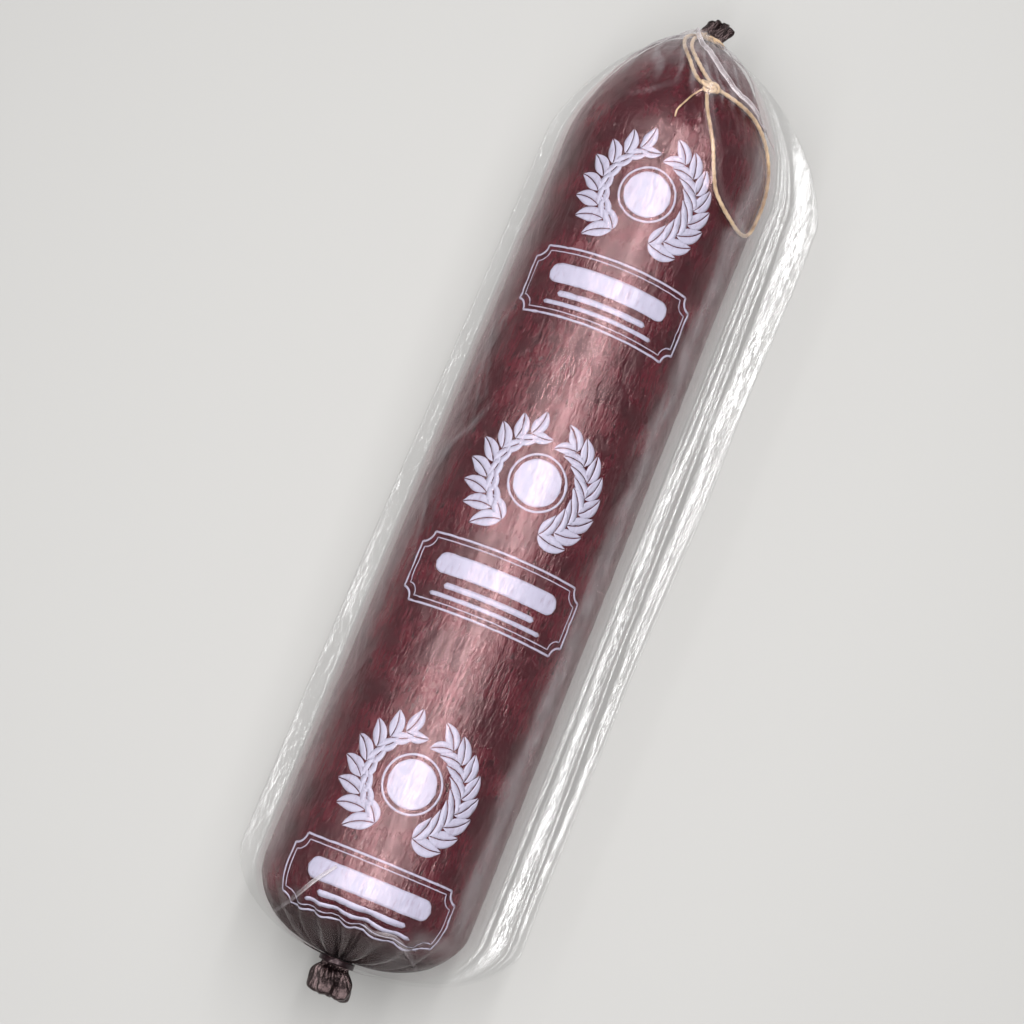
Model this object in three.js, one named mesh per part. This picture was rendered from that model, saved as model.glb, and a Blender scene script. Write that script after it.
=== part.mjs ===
// A cured sausage (a whole salami) in its clear pouch, lying on its flattened underside.
//
// Frame, millimetres: +X runs along the sausage from the blunt, clipped end to the tied end, +Y is to
// the left of it and +Z is up. The origin is at the middle of the flat underside of the pouch, so the
// surface that the sausage lies on is z = 0.
import * as THREE from "three";

// ---------------------------------------------------------------------------------------------
// Driving dimensions
// ---------------------------------------------------------------------------------------------
const casingRadius = 45;            // half of the casing's 90 mm calibre
const neckToNeck = 426;             // between the two places where the casing is gathered
const restSag = 1.5;                // how far the sausage settles flat under its own weight

const clipEnd = {
  length: 28,                       // of the rounded end, from neck to full radius
  fullness: 2,                      // exponent of the end's outline: 2 is an ellipse
  neckRadius: 6,
  neckLength: 4,
  neckY: 1.5,
  neckDrop: 2,
  tuftLength: 16,                   // from the neck's inner end to the tuft's tip
  tuftRadius: 9.2,
  tuftFlatness: 0.62,
  tuftY: 0.5,
};
const tiedEnd = {
  length: 62,
  fullness: 1.6,                    // below 2, so this end is nearly a cone
  neckRadius: 5.5,
  neckLength: 5,
  neckY: 3,
  neckDrop: 3,
  tuftLength: 13,
  tuftRadius: 6.6,
  tuftFlatness: 0.9,
  tuftY: 0.5,
};
const pleatCount = 9;
const pleatDepth = 0.16;            // of the radius, at the necks
const tuftFoldCount = 6;
const tuftFoldDepth = 0.22;
const tuftDimple = 2.5;             // hollow in the tuft's ragged end

const fitGap = 0.35;                // clear space between two pieces that touch
const clipWidth = 2.6;
const clipThickness = 1.2;

const twineDiameter = 2;
const neckTurns = 2;
const knotRadius = 3.2;
const knotThickness = 4.4;

const filmThickness = 0.4;
const filmGap = 0.6;                // between the casing and the film where it clings
const restGap = 0.4;                // the same under the sausage's own weight
const seamGap = 0.3;                // between the two films along the sealed edges
const leftWing = 11;                // sealed edge beyond the casing on +Y
const rightWing = 25;               // and on -Y
const neckWing = 1.5;               // what is left of each at the necks
const wingRoot = 2.4;               // from the casing's side to where the two films meet
const tentStart = 110;              // from the tied neck to where the film starts to lift over the twine
const tentFull = 91;                // and to where it clears the twine
const tentTurns = [30, 46, 184, 202];   // degrees round: it lifts, clears the twine, and settles again
const knotTentReach = 13;           // how far round the knot the film is lifted

const ringStep = 10;                // degrees between two points round the casing and the film
const clipEndSteps = 9;
const bodySteps = 7;
const tiedEndSteps = 12;

// ---------------------------------------------------------------------------------------------
// Values that follow from them
// ---------------------------------------------------------------------------------------------
const halfLength = neckToNeck / 2;
const casingFloor = filmThickness + restGap;
const axisHeight = casingFloor + casingRadius - restSag;
const twineRadius = twineDiameter / 2;
const twineLift = twineRadius + fitGap;
const tentLift = twineDiameter + 2 * fitGap + 0.3;
const knotLift = knotThickness / 2 + fitGap;
const knotTentLift = knotThickness + 3 * fitGap - tentLift;
const wrapWidth = neckTurns * twineDiameter;
const wrapInner = tiedEnd.neckRadius + fitGap;
const wrapOuter = wrapInner + twineDiameter;
const clipInner = clipEnd.neckRadius + fitGap;
const clipOuter = clipInner + clipThickness;

// Where the twine lies: how far back from the tied neck, and degrees round from +Y over the top.
const knotPlace = { back: 35, turn: 102 };
const leftLeadRoute = [
  [33.7, 97], [32.2, 93], [28.5, 88.3], [23.9, 83.7], [19, 77.5], [14.8, 71.5], [10.5, 66], [6.5, 61.5],
  [3, 58], [0.5, 56],
];
const rightLeadRoute = [
  [31.5, 101.5], [28.5, 97], [24.5, 91.5], [20, 85.5], [15.5, 79.5], [11, 75.5], [7, 73], [3.5, 74], [0.5, 77],
];
const loopRoute = [
  [38.4, 101.5], [44.6, 103.8], [51.7, 108.2], [59.4, 113.3], [68.9, 119], [76, 124.5], [79.9, 131.7],
  [82.5, 140.8], [83.7, 150.2], [82.5, 160], [78, 169], [71, 174], [62, 175], [53, 172], [45, 163],
  [39.4, 152], [36, 141.5], [34.6, 132], [34, 122], [33.6, 113], [33.5, 107.2],
];

const radians = THREE.MathUtils.degToRad;

// ---------------------------------------------------------------------------------------------
// The sausage's shape, which every piece follows
// ---------------------------------------------------------------------------------------------
/** The casing's cross-section at x: its radius, its centre, and the outline's outward normal. */
function casingAt(x) {
  const end = x < 0 ? clipEnd : tiedEnd;
  const swell = casingRadius - end.neckRadius;
  const along = THREE.MathUtils.clamp(1 - (halfLength - Math.abs(x)) / end.length, 0, 1);
  const across = (1 - along ** end.fullness) ** (1 / end.fullness);
  const axial = along ** (end.fullness - 1) / end.length;
  const radial = across ** (end.fullness - 1) / swell;
  const size = Math.hypot(axial, radial);
  return {
    along,
    radius: end.neckRadius + swell * across,
    centreY: end.neckY * along ** 2,
    centreZ: axisHeight - end.neckDrop * along ** 2,
    axial: Math.sign(x) * axial / size,
    radial: radial / size,
  };
}

/** A point lifted off the casing's surface, kept no lower than the given floor. */
function surfacePoint(x, turn, lift, floor) {
  const section = casingAt(x);
  const reach = section.radius + lift * section.radial;
  return new THREE.Vector3(
    x + lift * section.axial,
    section.centreY + reach * Math.cos(turn),
    Math.max(section.centreZ + reach * Math.sin(turn), floor),
  );
}

/** Stations along the sausage, close together where the outline turns. */
function stations() {
  const places = [];
  const dome = (end, count) => Array.from({ length: count }, (_, step) => {
    const turn = (step / count) * (Math.PI / 2);
    return halfLength - end.length * (1 - Math.cos(turn) ** (2 / end.fullness));
  });
  dome(clipEnd, clipEndSteps).forEach((x) => places.push(-x));
  const start = clipEnd.length - halfLength;
  for (let step = 0; step <= bodySteps; step += 1) {
    places.push(THREE.MathUtils.lerp(start, halfLength - tentStart, step / bodySteps));
  }
  places.push(halfLength - tentFull, halfLength - tiedEnd.length);
  dome(tiedEnd, tiedEndSteps).reverse().forEach((x) => places.push(x));
  return places;
}

/** The angles round a full section, half a step off the axes, so the underside is one flat strip. */
function ringTurns() {
  return Array.from({ length: 360 / ringStep }, (_, step) => radians((step + 0.5) * ringStep));
}

// ---------------------------------------------------------------------------------------------
// Mesh helpers
// ---------------------------------------------------------------------------------------------
/** A closed geometry from points and triangles, turned so that its faces point out. */
function closedGeometry(points, triangles) {
  let volume = 0;
  for (const [a, b, c] of triangles) {
    volume += points[a].dot(points[b].clone().cross(points[c]));
  }
  const index = triangles.flatMap(([a, b, c]) => (volume > 0 ? [a, b, c] : [a, c, b]));
  const geometry = new THREE.BufferGeometry();
  geometry.setAttribute("position", new THREE.Float32BufferAttribute(points.flatMap((p) => p.toArray()), 3));
  geometry.setIndex(index);
  geometry.computeVertexNormals();
  return geometry;
}

/** The four-sided faces between neighbouring rings of one size, as triangles. */
function ringFaces(ringCount, ringSize) {
  const triangles = [];
  for (let ring = 0; ring + 1 < ringCount; ring += 1) {
    for (let step = 0; step < ringSize; step += 1) {
      const a = ring * ringSize + step;
      const b = ring * ringSize + ((step + 1) % ringSize);
      triangles.push([a, b, b + ringSize], [a, b + ringSize, a + ringSize]);
    }
  }
  return triangles;
}

/** A solid skinned over closed rings, each end closed by a fan to its own tip point. */
function skinnedSolid(rings, firstTip, lastTip) {
  const size = rings[0].length;
  const points = [...rings.flat(), firstTip, lastTip];
  const triangles = ringFaces(rings.length, size);
  const first = points.length - 2;
  const last = points.length - 1;
  const lastRing = (rings.length - 1) * size;
  for (let step = 0; step < size; step += 1) {
    const next = (step + 1) % size;
    triangles.push([first, next, step], [last, lastRing + step, lastRing + next]);
  }
  return closedGeometry(points, triangles);
}

/** A thin sheet between an inner and an outer surface given as rows of points. */
function sheetSolid(innerRows, outerRows) {
  const width = innerRows[0].length;
  const rings = innerRows.map((row, place) => [...row, ...[...outerRows[place]].reverse()]);
  const triangles = ringFaces(rings.length, 2 * width);
  const lastRing = (rings.length - 1) * 2 * width;
  for (let step = 0; step + 1 < width; step += 1) {
    const far = 2 * width - 1 - step;
    triangles.push([step, far, far - 1], [step, far - 1, step + 1]);
    triangles.push(
      [lastRing + step, lastRing + far - 1, lastRing + far],
      [lastRing + step, lastRing + step + 1, lastRing + far - 1],
    );
  }
  return closedGeometry(rings.flat(), triangles);
}

/** A ring round the X axis with a rectangular section and slightly broken corners. */
function bandGeometry(innerRadius, outerRadius, width, corner) {
  const outline = [
    [innerRadius, 0], [outerRadius - corner, 0], [outerRadius, corner], [outerRadius, width - corner],
    [outerRadius - corner, width], [innerRadius, width], [innerRadius, 0],
  ].map(([radius, height]) => new THREE.Vector2(radius, height));
  const geometry = new THREE.LatheGeometry(outline, 28);
  geometry.rotateZ(-Math.PI / 2);
  return geometry;
}

/** Twine laid on the casing through chosen places, as a plain eight-sided tube. */
function twineGeometry(route) {
  const path = new THREE.CatmullRomCurve3(
    route.map(([back, turn]) => surfacePoint(halfLength - back, radians(turn), twineLift, 0)),
    false,
    "centripetal",
  );
  const section = new THREE.Shape(
    Array.from({ length: 8 }, (_, side) => {
      const turn = (side / 8) * 2 * Math.PI;
      return new THREE.Vector2(twineRadius * Math.cos(turn), twineRadius * Math.sin(turn));
    }),
  );
  const steps = Math.ceil(path.getLength() / (2 * twineDiameter));
  return new THREE.ExtrudeGeometry(section, { steps, extrudePath: path, bevelEnabled: false });
}

// ---------------------------------------------------------------------------------------------
// Pieces
// ---------------------------------------------------------------------------------------------
/** The rings of a gathered end beyond its neck: the neck itself, then the flared, folded tuft. */
function tuftRings(end, side) {
  const sections = [
    { out: end.neckLength, radius: end.neckRadius, spread: 0 },
    { out: end.neckLength + 0.25 * (end.tuftLength - end.neckLength), radius: 0.8 * end.tuftRadius, spread: 0.5 },
    { out: end.neckLength + 0.65 * (end.tuftLength - end.neckLength), radius: end.tuftRadius, spread: 1 },
    { out: end.tuftLength, radius: 0.86 * end.tuftRadius, spread: 1 },
  ];
  return sections.map(({ out, radius, spread }) => ringTurns().map((turn) => {
    const fold = 1 - spread * tuftFoldDepth * (0.5 + 0.5 * Math.cos(tuftFoldCount * turn));
    const flatness = 1 - spread * (1 - end.tuftFlatness);
    return new THREE.Vector3(
      side * (halfLength + out),
      THREE.MathUtils.lerp(end.neckY, end.tuftY, spread) + radius * fold * Math.cos(turn),
      axisHeight - end.neckDrop + radius * fold * flatness * Math.sin(turn),
    );
  }));
}

/** Meat and casing in one: the casing is grown onto the dried meat and gathered at both ends. */
function filledCasing() {
  const bodyRings = stations().map((x) => ringTurns().map((turn) => {
    const section = casingAt(x);
    const pleat = pleatDepth * section.along ** 6 * (0.5 + 0.5 * Math.cos(pleatCount * turn));
    return surfacePoint(x, turn, -pleat * section.radius, casingFloor);
  }));
  const tip = (end, side) => new THREE.Vector3(
    side * (halfLength + end.tuftLength - tuftDimple),
    end.tuftY,
    axisHeight - end.neckDrop,
  );
  const rings = [...tuftRings(clipEnd, -1).reverse(), ...bodyRings, ...tuftRings(tiedEnd, 1)];
  return skinnedSolid(rings, tip(clipEnd, -1), tip(tiedEnd, 1));
}

/** How far the film stands off the casing: close, but tented over the twine and its knot. */
function filmLift(x, turn) {
  const { smoothstep } = THREE.MathUtils;
  const [rise, clear, stay, settle] = tentTurns.map(radians);
  const tent = smoothstep(x, halfLength - tentStart, halfLength - tentFull) * smoothstep(turn, rise, clear)
    * (1 - smoothstep(turn, stay, settle));
  const knotX = halfLength - knotPlace.back;
  const knotGap = Math.hypot(x - knotX, casingAt(x).radius * (turn - radians(knotPlace.turn)));
  const knotTent = 1 - smoothstep(knotGap, knotRadius + 2, knotTentReach);
  return filmGap + (tentLift - filmGap) * tent + knotTentLift * knotTent * tent;
}

/** One film of the pouch: over the casing on the given side, and out flat along both sealed edges. */
function pouchFilm(side) {
  const turns = Array.from({ length: 180 / ringStep }, (_, step) => (
    radians(180 - side * (step + 0.5) * ringStep)
  ));
  const lip = (x) => (x < 0 ? clipOuter : wrapOuter) + fitGap;
  const wingPoint = (x, across, hand, layer) => {
    const section = casingAt(x);
    const lift = filmLift(x, hand > 0 ? 0 : Math.PI);
    const edge = Math.max(section.radius + lift * section.radial, lip(x));
    return new THREE.Vector3(
      x + lift * section.axial,
      section.centreY + hand * (edge + across),
      section.centreZ + side * (seamGap / 2 + layer * filmThickness),
    );
  };
  const arcPoint = (x, turn, layer) => {
    const lift = filmLift(x, turn) + layer * filmThickness;
    const section = casingAt(x);
    const point = surfacePoint(x, turn, lift, filmThickness * (1 - layer));
    const reach = section.radius + lift * section.radial;
    const clear = lip(x) + layer * filmThickness;
    if (reach < clear) {
      point.y = section.centreY + clear * Math.cos(turn);
      point.z = section.centreZ + clear * Math.sin(turn);
    }
    return point;
  };
  const row = (x, layer) => {
    const ease = (1 - casingAt(x).along) ** 0.6;
    const left = neckWing + (leftWing - neckWing) * ease;
    const right = neckWing + (rightWing - neckWing) * ease;
    const root = Math.min(wingRoot, 0.6 * left, 0.6 * right);
    return [
      wingPoint(x, right, -1, layer),
      wingPoint(x, (right + root) / 2, -1, layer),
      wingPoint(x, root, -1, layer),
      ...turns.map((turn) => arcPoint(x, turn, layer)),
      wingPoint(x, root, 1, layer),
      wingPoint(x, (left + root) / 2, 1, layer),
      wingPoint(x, left, 1, layer),
    ];
  };
  const places = stations();
  return sheetSolid(places.map((x) => row(x, 0)), places.map((x) => row(x, 1)));
}

/** The knot where the loop leaves the neck, lying flat on the casing. */
function knotGeometry() {
  const geometry = new THREE.SphereGeometry(1, 16, 10);
  geometry.scale(knotRadius, knotRadius, knotThickness / 2);
  return geometry;
}

/** Puts the knot on the casing at its place, its flat side down. */
function placeKnot(mesh) {
  const x = halfLength - knotPlace.back;
  const turn = radians(knotPlace.turn);
  const section = casingAt(x);
  const outward = new THREE.Vector3(
    section.axial,
    section.radial * Math.cos(turn),
    section.radial * Math.sin(turn),
  );
  mesh.position.copy(surfacePoint(x, turn, knotLift, 0));
  mesh.quaternion.setFromUnitVectors(new THREE.Vector3(0, 0, 1), outward);
}

// ---------------------------------------------------------------------------------------------
// The finished sausage
// ---------------------------------------------------------------------------------------------
/** A named mesh with its own material. */
function piece(name, geometry, colour, roughness, metalness = 0, opacity = 1) {
  const material = new THREE.MeshStandardMaterial({ color: colour, roughness, metalness });
  material.opacity = opacity;
  material.transparent = opacity < 1;
  const mesh = new THREE.Mesh(geometry, material);
  mesh.name = name;
  return mesh;
}

const casingColour = 0x5a2a33;
const clipColour = 0x2a1a1e;
const twineColour = 0xc9a878;
const filmColour = 0xe6e4e8;

const sausage = new THREE.Group();
sausage.name = "cured_sausage";

sausage.add(piece("filled_casing", filledCasing(), casingColour, 0.5));

const clip = piece("neck_clip", bandGeometry(clipInner, clipOuter, clipWidth, 0.3), clipColour, 0.45, 0.6);
clip.position.set(
  -halfLength - fitGap - clipWidth,
  clipEnd.neckY,
  axisHeight - clipEnd.neckDrop,
);
sausage.add(clip);

const wrap = piece("twine_neck_wrap", bandGeometry(wrapInner, wrapOuter, wrapWidth, 0.6), twineColour, 0.9);
wrap.position.set(halfLength + fitGap, tiedEnd.neckY, axisHeight - tiedEnd.neckDrop);
sausage.add(wrap);

sausage.add(piece("twine_lead_left", twineGeometry(leftLeadRoute), twineColour, 0.9));
sausage.add(piece("twine_lead_right", twineGeometry(rightLeadRoute), twineColour, 0.9));
sausage.add(piece("twine_loop", twineGeometry(loopRoute), twineColour, 0.9));

const knot = piece("twine_knot", knotGeometry(), twineColour, 0.9);
placeKnot(knot);
sausage.add(knot);

sausage.add(piece("pouch_front_film", pouchFilm(1), filmColour, 0.12, 0, 0.2));
sausage.add(piece("pouch_back_film", pouchFilm(-1), filmColour, 0.12, 0, 0.2));

export default sausage;
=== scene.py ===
"""A cured sausage in its clear pouch, modelled and dressed for a plain studio picture.

Sizes are in millimetres and become metres where a mesh is made. The frame's +X runs along the sausage
from its blunt, clipped end to its tied end, +Y is to the left of that seen from above and +Z is up.
A place on the sausage is given by x and by a turn, the angle round it from +Y over the top.
"""

from __future__ import annotations

import logging
import math
import random
from dataclasses import dataclass, field
from enum import Enum
from typing import Any, Callable, Iterable, Sequence

import bpy
import numpy as np
from mathutils import Matrix, Vector, kdtree, noise

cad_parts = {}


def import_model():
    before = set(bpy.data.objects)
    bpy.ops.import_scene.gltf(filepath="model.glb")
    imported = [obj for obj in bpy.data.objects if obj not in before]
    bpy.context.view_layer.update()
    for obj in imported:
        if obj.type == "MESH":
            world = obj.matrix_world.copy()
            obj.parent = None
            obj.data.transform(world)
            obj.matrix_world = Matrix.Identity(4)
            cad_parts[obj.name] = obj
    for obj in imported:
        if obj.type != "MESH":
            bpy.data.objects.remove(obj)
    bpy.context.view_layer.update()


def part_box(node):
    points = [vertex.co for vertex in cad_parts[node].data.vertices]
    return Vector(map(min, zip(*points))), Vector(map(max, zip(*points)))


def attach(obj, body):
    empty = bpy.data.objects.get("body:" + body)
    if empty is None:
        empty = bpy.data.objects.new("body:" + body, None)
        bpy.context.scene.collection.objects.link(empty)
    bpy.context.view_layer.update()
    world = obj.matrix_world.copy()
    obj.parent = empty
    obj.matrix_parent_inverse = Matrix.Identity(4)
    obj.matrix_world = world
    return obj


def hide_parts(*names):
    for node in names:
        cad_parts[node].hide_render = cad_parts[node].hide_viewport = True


LOG = logging.getLogger("sausage")
MM = 0.001
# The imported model's own gap between neighbouring pieces, in millimetres, and the angle between the points of
# its casing's rings.
FIT_GAP = 0.35
RING_STEP = math.radians(10)


# --------------------------------------------------------------------------------------------------
# Small helpers
# --------------------------------------------------------------------------------------------------
def smoothstep(value: float, low: float, high: float) -> float:
    """Returns 0 below low, 1 above high, and an even curve between them."""
    share = min(max((value - low) / (high - low), 0.0), 1.0)
    return share * share * (3 - 2 * share)


def lerp(first: float, last: float, share: float) -> float:
    """Returns the value that lies the given share of the way from first to last."""
    return first + (last - first) * share


def srgb(colour: str) -> tuple[float, float, float, float]:
    """Turns an sRGB hex colour to linear light.

    Args:
        colour: six hex digits after a hash.

    Returns:
        Red, green, blue and an alpha of 1.
    """
    parts = [int(colour[start:start + 2], 16) / 255 for start in (1, 3, 5)]
    linear = [p / 12.92 if p <= 0.04045 else ((p + 0.055) / 1.055) ** 2.4 for p in parts]
    return (*linear, 1.0)


def grain_scale(length: float, width: float) -> tuple[float, float, float]:
    """Returns the Mapping scale for a grain of this length along the sausage and width across it, in mm."""
    return 1 / (length * MM), 1 / (width * MM), 1 / (width * MM)


def add_node(
    tree: bpy.types.NodeTree, kind: str, inputs: dict[Any, Any] | None = None, **settings: Any,
) -> bpy.types.Node:
    """Adds one node to a material.

    Args:
        tree: the material's node tree.
        kind: the node's type name, without its ShaderNode prefix.
        inputs: values for its sockets by name or number; an output socket is linked instead.
        settings: the node's own properties.

    Returns:
        The new node.
    """
    node = tree.nodes.new(f"ShaderNode{kind}")
    for name, value in settings.items():
        setattr(node, name, value)
    for key, value in (inputs or {}).items():
        if isinstance(value, bpy.types.NodeSocket):
            tree.links.new(value, node.inputs[key])
        else:
            node.inputs[key].default_value = value
    return node


def set_ramp(node: bpy.types.Node, stops: Sequence[tuple[float, tuple[float, float, float, float]]]) -> None:
    """Gives a Color Ramp node its stops, each a position and a linear colour."""
    elements = node.color_ramp.elements
    while len(elements) < len(stops):
        elements.new(0.5)
    for element, (position, colour) in zip(elements, stops):
        element.position = position
        element.color = colour


def grey(level: float) -> tuple[float, float, float, float]:
    """Returns an even grey for a ramp that carries a number."""
    return (level, level, level, 1.0)


def new_material(name: str) -> tuple[bpy.types.Material, bpy.types.NodeTree, bpy.types.Node]:
    """Makes an empty node material and returns it with its tree and its output node."""
    material = bpy.data.materials.new(name)
    material.use_nodes = True
    tree = material.node_tree
    tree.nodes.clear()
    return material, tree, add_node(tree, "OutputMaterial")


def object_from_faces(
    name: str, points: Sequence[Vector], faces: Sequence[tuple[int, ...]],
) -> bpy.types.Object:
    """Makes and links an object from points in millimetres and faces that number them."""
    mesh = bpy.data.meshes.new(name)
    mesh.from_pydata([Vector(point) * MM for point in points], [], faces)
    mesh.update()
    piece = bpy.data.objects.new(name, mesh)
    bpy.context.scene.collection.objects.link(piece)
    return piece


def object_from_grid(name: str, rows: Sequence[Sequence[Vector]], closed: bool = False) -> bpy.types.Object:
    """Makes an object from rows of points in millimetres.

    Args:
        name: the piece's name.
        rows: equally long rows of points.
        closed: whether each row is a ring whose last point joins its first.

    Returns:
        The linked object, its faces following the rows.
    """
    width = len(rows[0])
    faces = []
    for row in range(len(rows) - 1):
        for step in range(width if closed else width - 1):
            near = row * width + step
            side = row * width + (step + 1) % width
            faces.append((near, side, side + width, near + width))
    return object_from_faces(name, [point for row in rows for point in row], faces)


def select_only(piece: bpy.types.Object) -> None:
    """Makes a piece the only selected and the active object."""
    bpy.ops.object.select_all(action="DESELECT")
    piece.select_set(True)
    bpy.context.view_layer.objects.active = piece


def apply_modifier(piece: bpy.types.Object, kind: str, **settings: Any) -> None:
    """Adds a modifier with its settings and applies it."""
    select_only(piece)
    modifier = piece.modifiers.new(kind.title(), kind)
    for name, value in settings.items():
        setattr(modifier, name, value)
    bpy.ops.object.modifier_apply(modifier=modifier.name)


def smooth(piece: bpy.types.Object) -> None:
    """Shades every face of a piece smooth."""
    select_only(piece)
    bpy.ops.object.shade_smooth()


def merge_points(piece: bpy.types.Object, gap: float, turn_outward: bool = False) -> None:
    """Merges the points of a piece that lie within a gap in millimetres of each other.

    Args:
        piece: the piece.
        gap: the gap.
        turn_outward: whether the faces are then made to point out of the closed piece.
    """
    select_only(piece)
    bpy.ops.object.mode_set(mode="EDIT")
    bpy.ops.mesh.select_all(action="SELECT")
    bpy.ops.mesh.remove_doubles(threshold=gap * MM)
    if turn_outward:
        bpy.ops.mesh.normals_make_consistent(inside=False)
    bpy.ops.object.mode_set(mode="OBJECT")


def dress(piece: bpy.types.Object, material: bpy.types.Material, slot: str, *nodes: str) -> None:
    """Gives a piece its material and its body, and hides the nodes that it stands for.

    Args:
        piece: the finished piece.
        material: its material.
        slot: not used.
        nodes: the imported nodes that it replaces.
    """
    piece.data.materials.clear()
    piece.data.materials.append(material)
    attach(piece, "root")
    if nodes:
        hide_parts(*nodes)
    LOG.info("%s: %d faces", piece.name, len(piece.data.polygons))


def spin_profile(
    name: str, profile: Sequence[tuple[float, float]], height: float, steps: int,
) -> bpy.types.Object:
    """Turns a lathe outline round the sausage's own axis.

    Args:
        name: the piece's name.
        profile: points of x and radius in millimetres; it starts and ends on the axis or closes on itself.
        height: the axis' height above the resting surface, in millimetres.
        steps: how many times the outline is repeated round the axis.

    Returns:
        The closed solid of revolution.
    """
    bpy.ops.object.select_all(action="DESELECT")
    first = Vector((profile[0][0], profile[0][1], height)) * MM
    bpy.ops.mesh.primitive_plane_add(size=MM, location=first)
    piece = bpy.context.active_object
    piece.name = piece.data.name = name
    bpy.ops.object.transform_apply(location=True, rotation=True, scale=True)
    bpy.ops.object.mode_set(mode="EDIT")
    bpy.ops.mesh.select_all(action="SELECT")
    bpy.ops.mesh.merge(type="CENTER")
    for (x0, r0), (x1, r1) in zip(profile, profile[1:]):
        move = ((x1 - x0) * MM, (r1 - r0) * MM, 0)
        bpy.ops.mesh.extrude_region_move(TRANSFORM_OT_translate={"value": move})
    bpy.ops.mesh.select_all(action="SELECT")
    bpy.ops.mesh.spin(steps=steps, angle=2 * math.pi, center=(0, 0, height * MM), axis=(1, 0, 0))
    bpy.ops.mesh.select_all(action="SELECT")
    bpy.ops.mesh.remove_doubles(threshold=1e-6)
    bpy.ops.mesh.normals_make_consistent(inside=False)
    bpy.ops.object.mode_set(mode="OBJECT")
    return piece


# --------------------------------------------------------------------------------------------------
# The sausage's shape, which casing, print, twine and film all follow
# --------------------------------------------------------------------------------------------------
@dataclass(frozen=True)
class GatheredEnd:
    """One end of the casing, gathered to a neck with a tuft beyond it. Sizes in millimetres."""

    side: int
    length: float
    fullness: float
    neck_radius: float
    neck_length: float
    neck_y: float
    neck_drop: float
    tuft_length: float
    tuft_radius: float
    tuft_flatness: float
    tuft_y: float
    pleats: int
    pleat_depth: float
    pleat_reach: float
    tuft_folds: int


BLUNT_END = GatheredEnd(
    side=-1, length=28, fullness=2,
    neck_radius=6, neck_length=4, neck_y=1.5, neck_drop=2,
    tuft_length=16, tuft_radius=10.2, tuft_flatness=0.66, tuft_y=0.0,
    pleats=19, pleat_depth=0.26, pleat_reach=1.9, tuft_folds=5,
)
TIED_END = GatheredEnd(
    side=1, length=62, fullness=1.6,
    neck_radius=5.5, neck_length=5, neck_y=3, neck_drop=3,
    tuft_length=13, tuft_radius=6.6, tuft_flatness=0.9, tuft_y=0.5,
    pleats=23, pleat_depth=0.16, pleat_reach=3.5, tuft_folds=6,
)


@dataclass(frozen=True)
class Section:
    """The casing's cross-section at one x, with its outline's outward normal."""

    along: float
    radius: float
    centre_y: float
    centre_z: float
    axial: float
    radial: float


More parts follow.
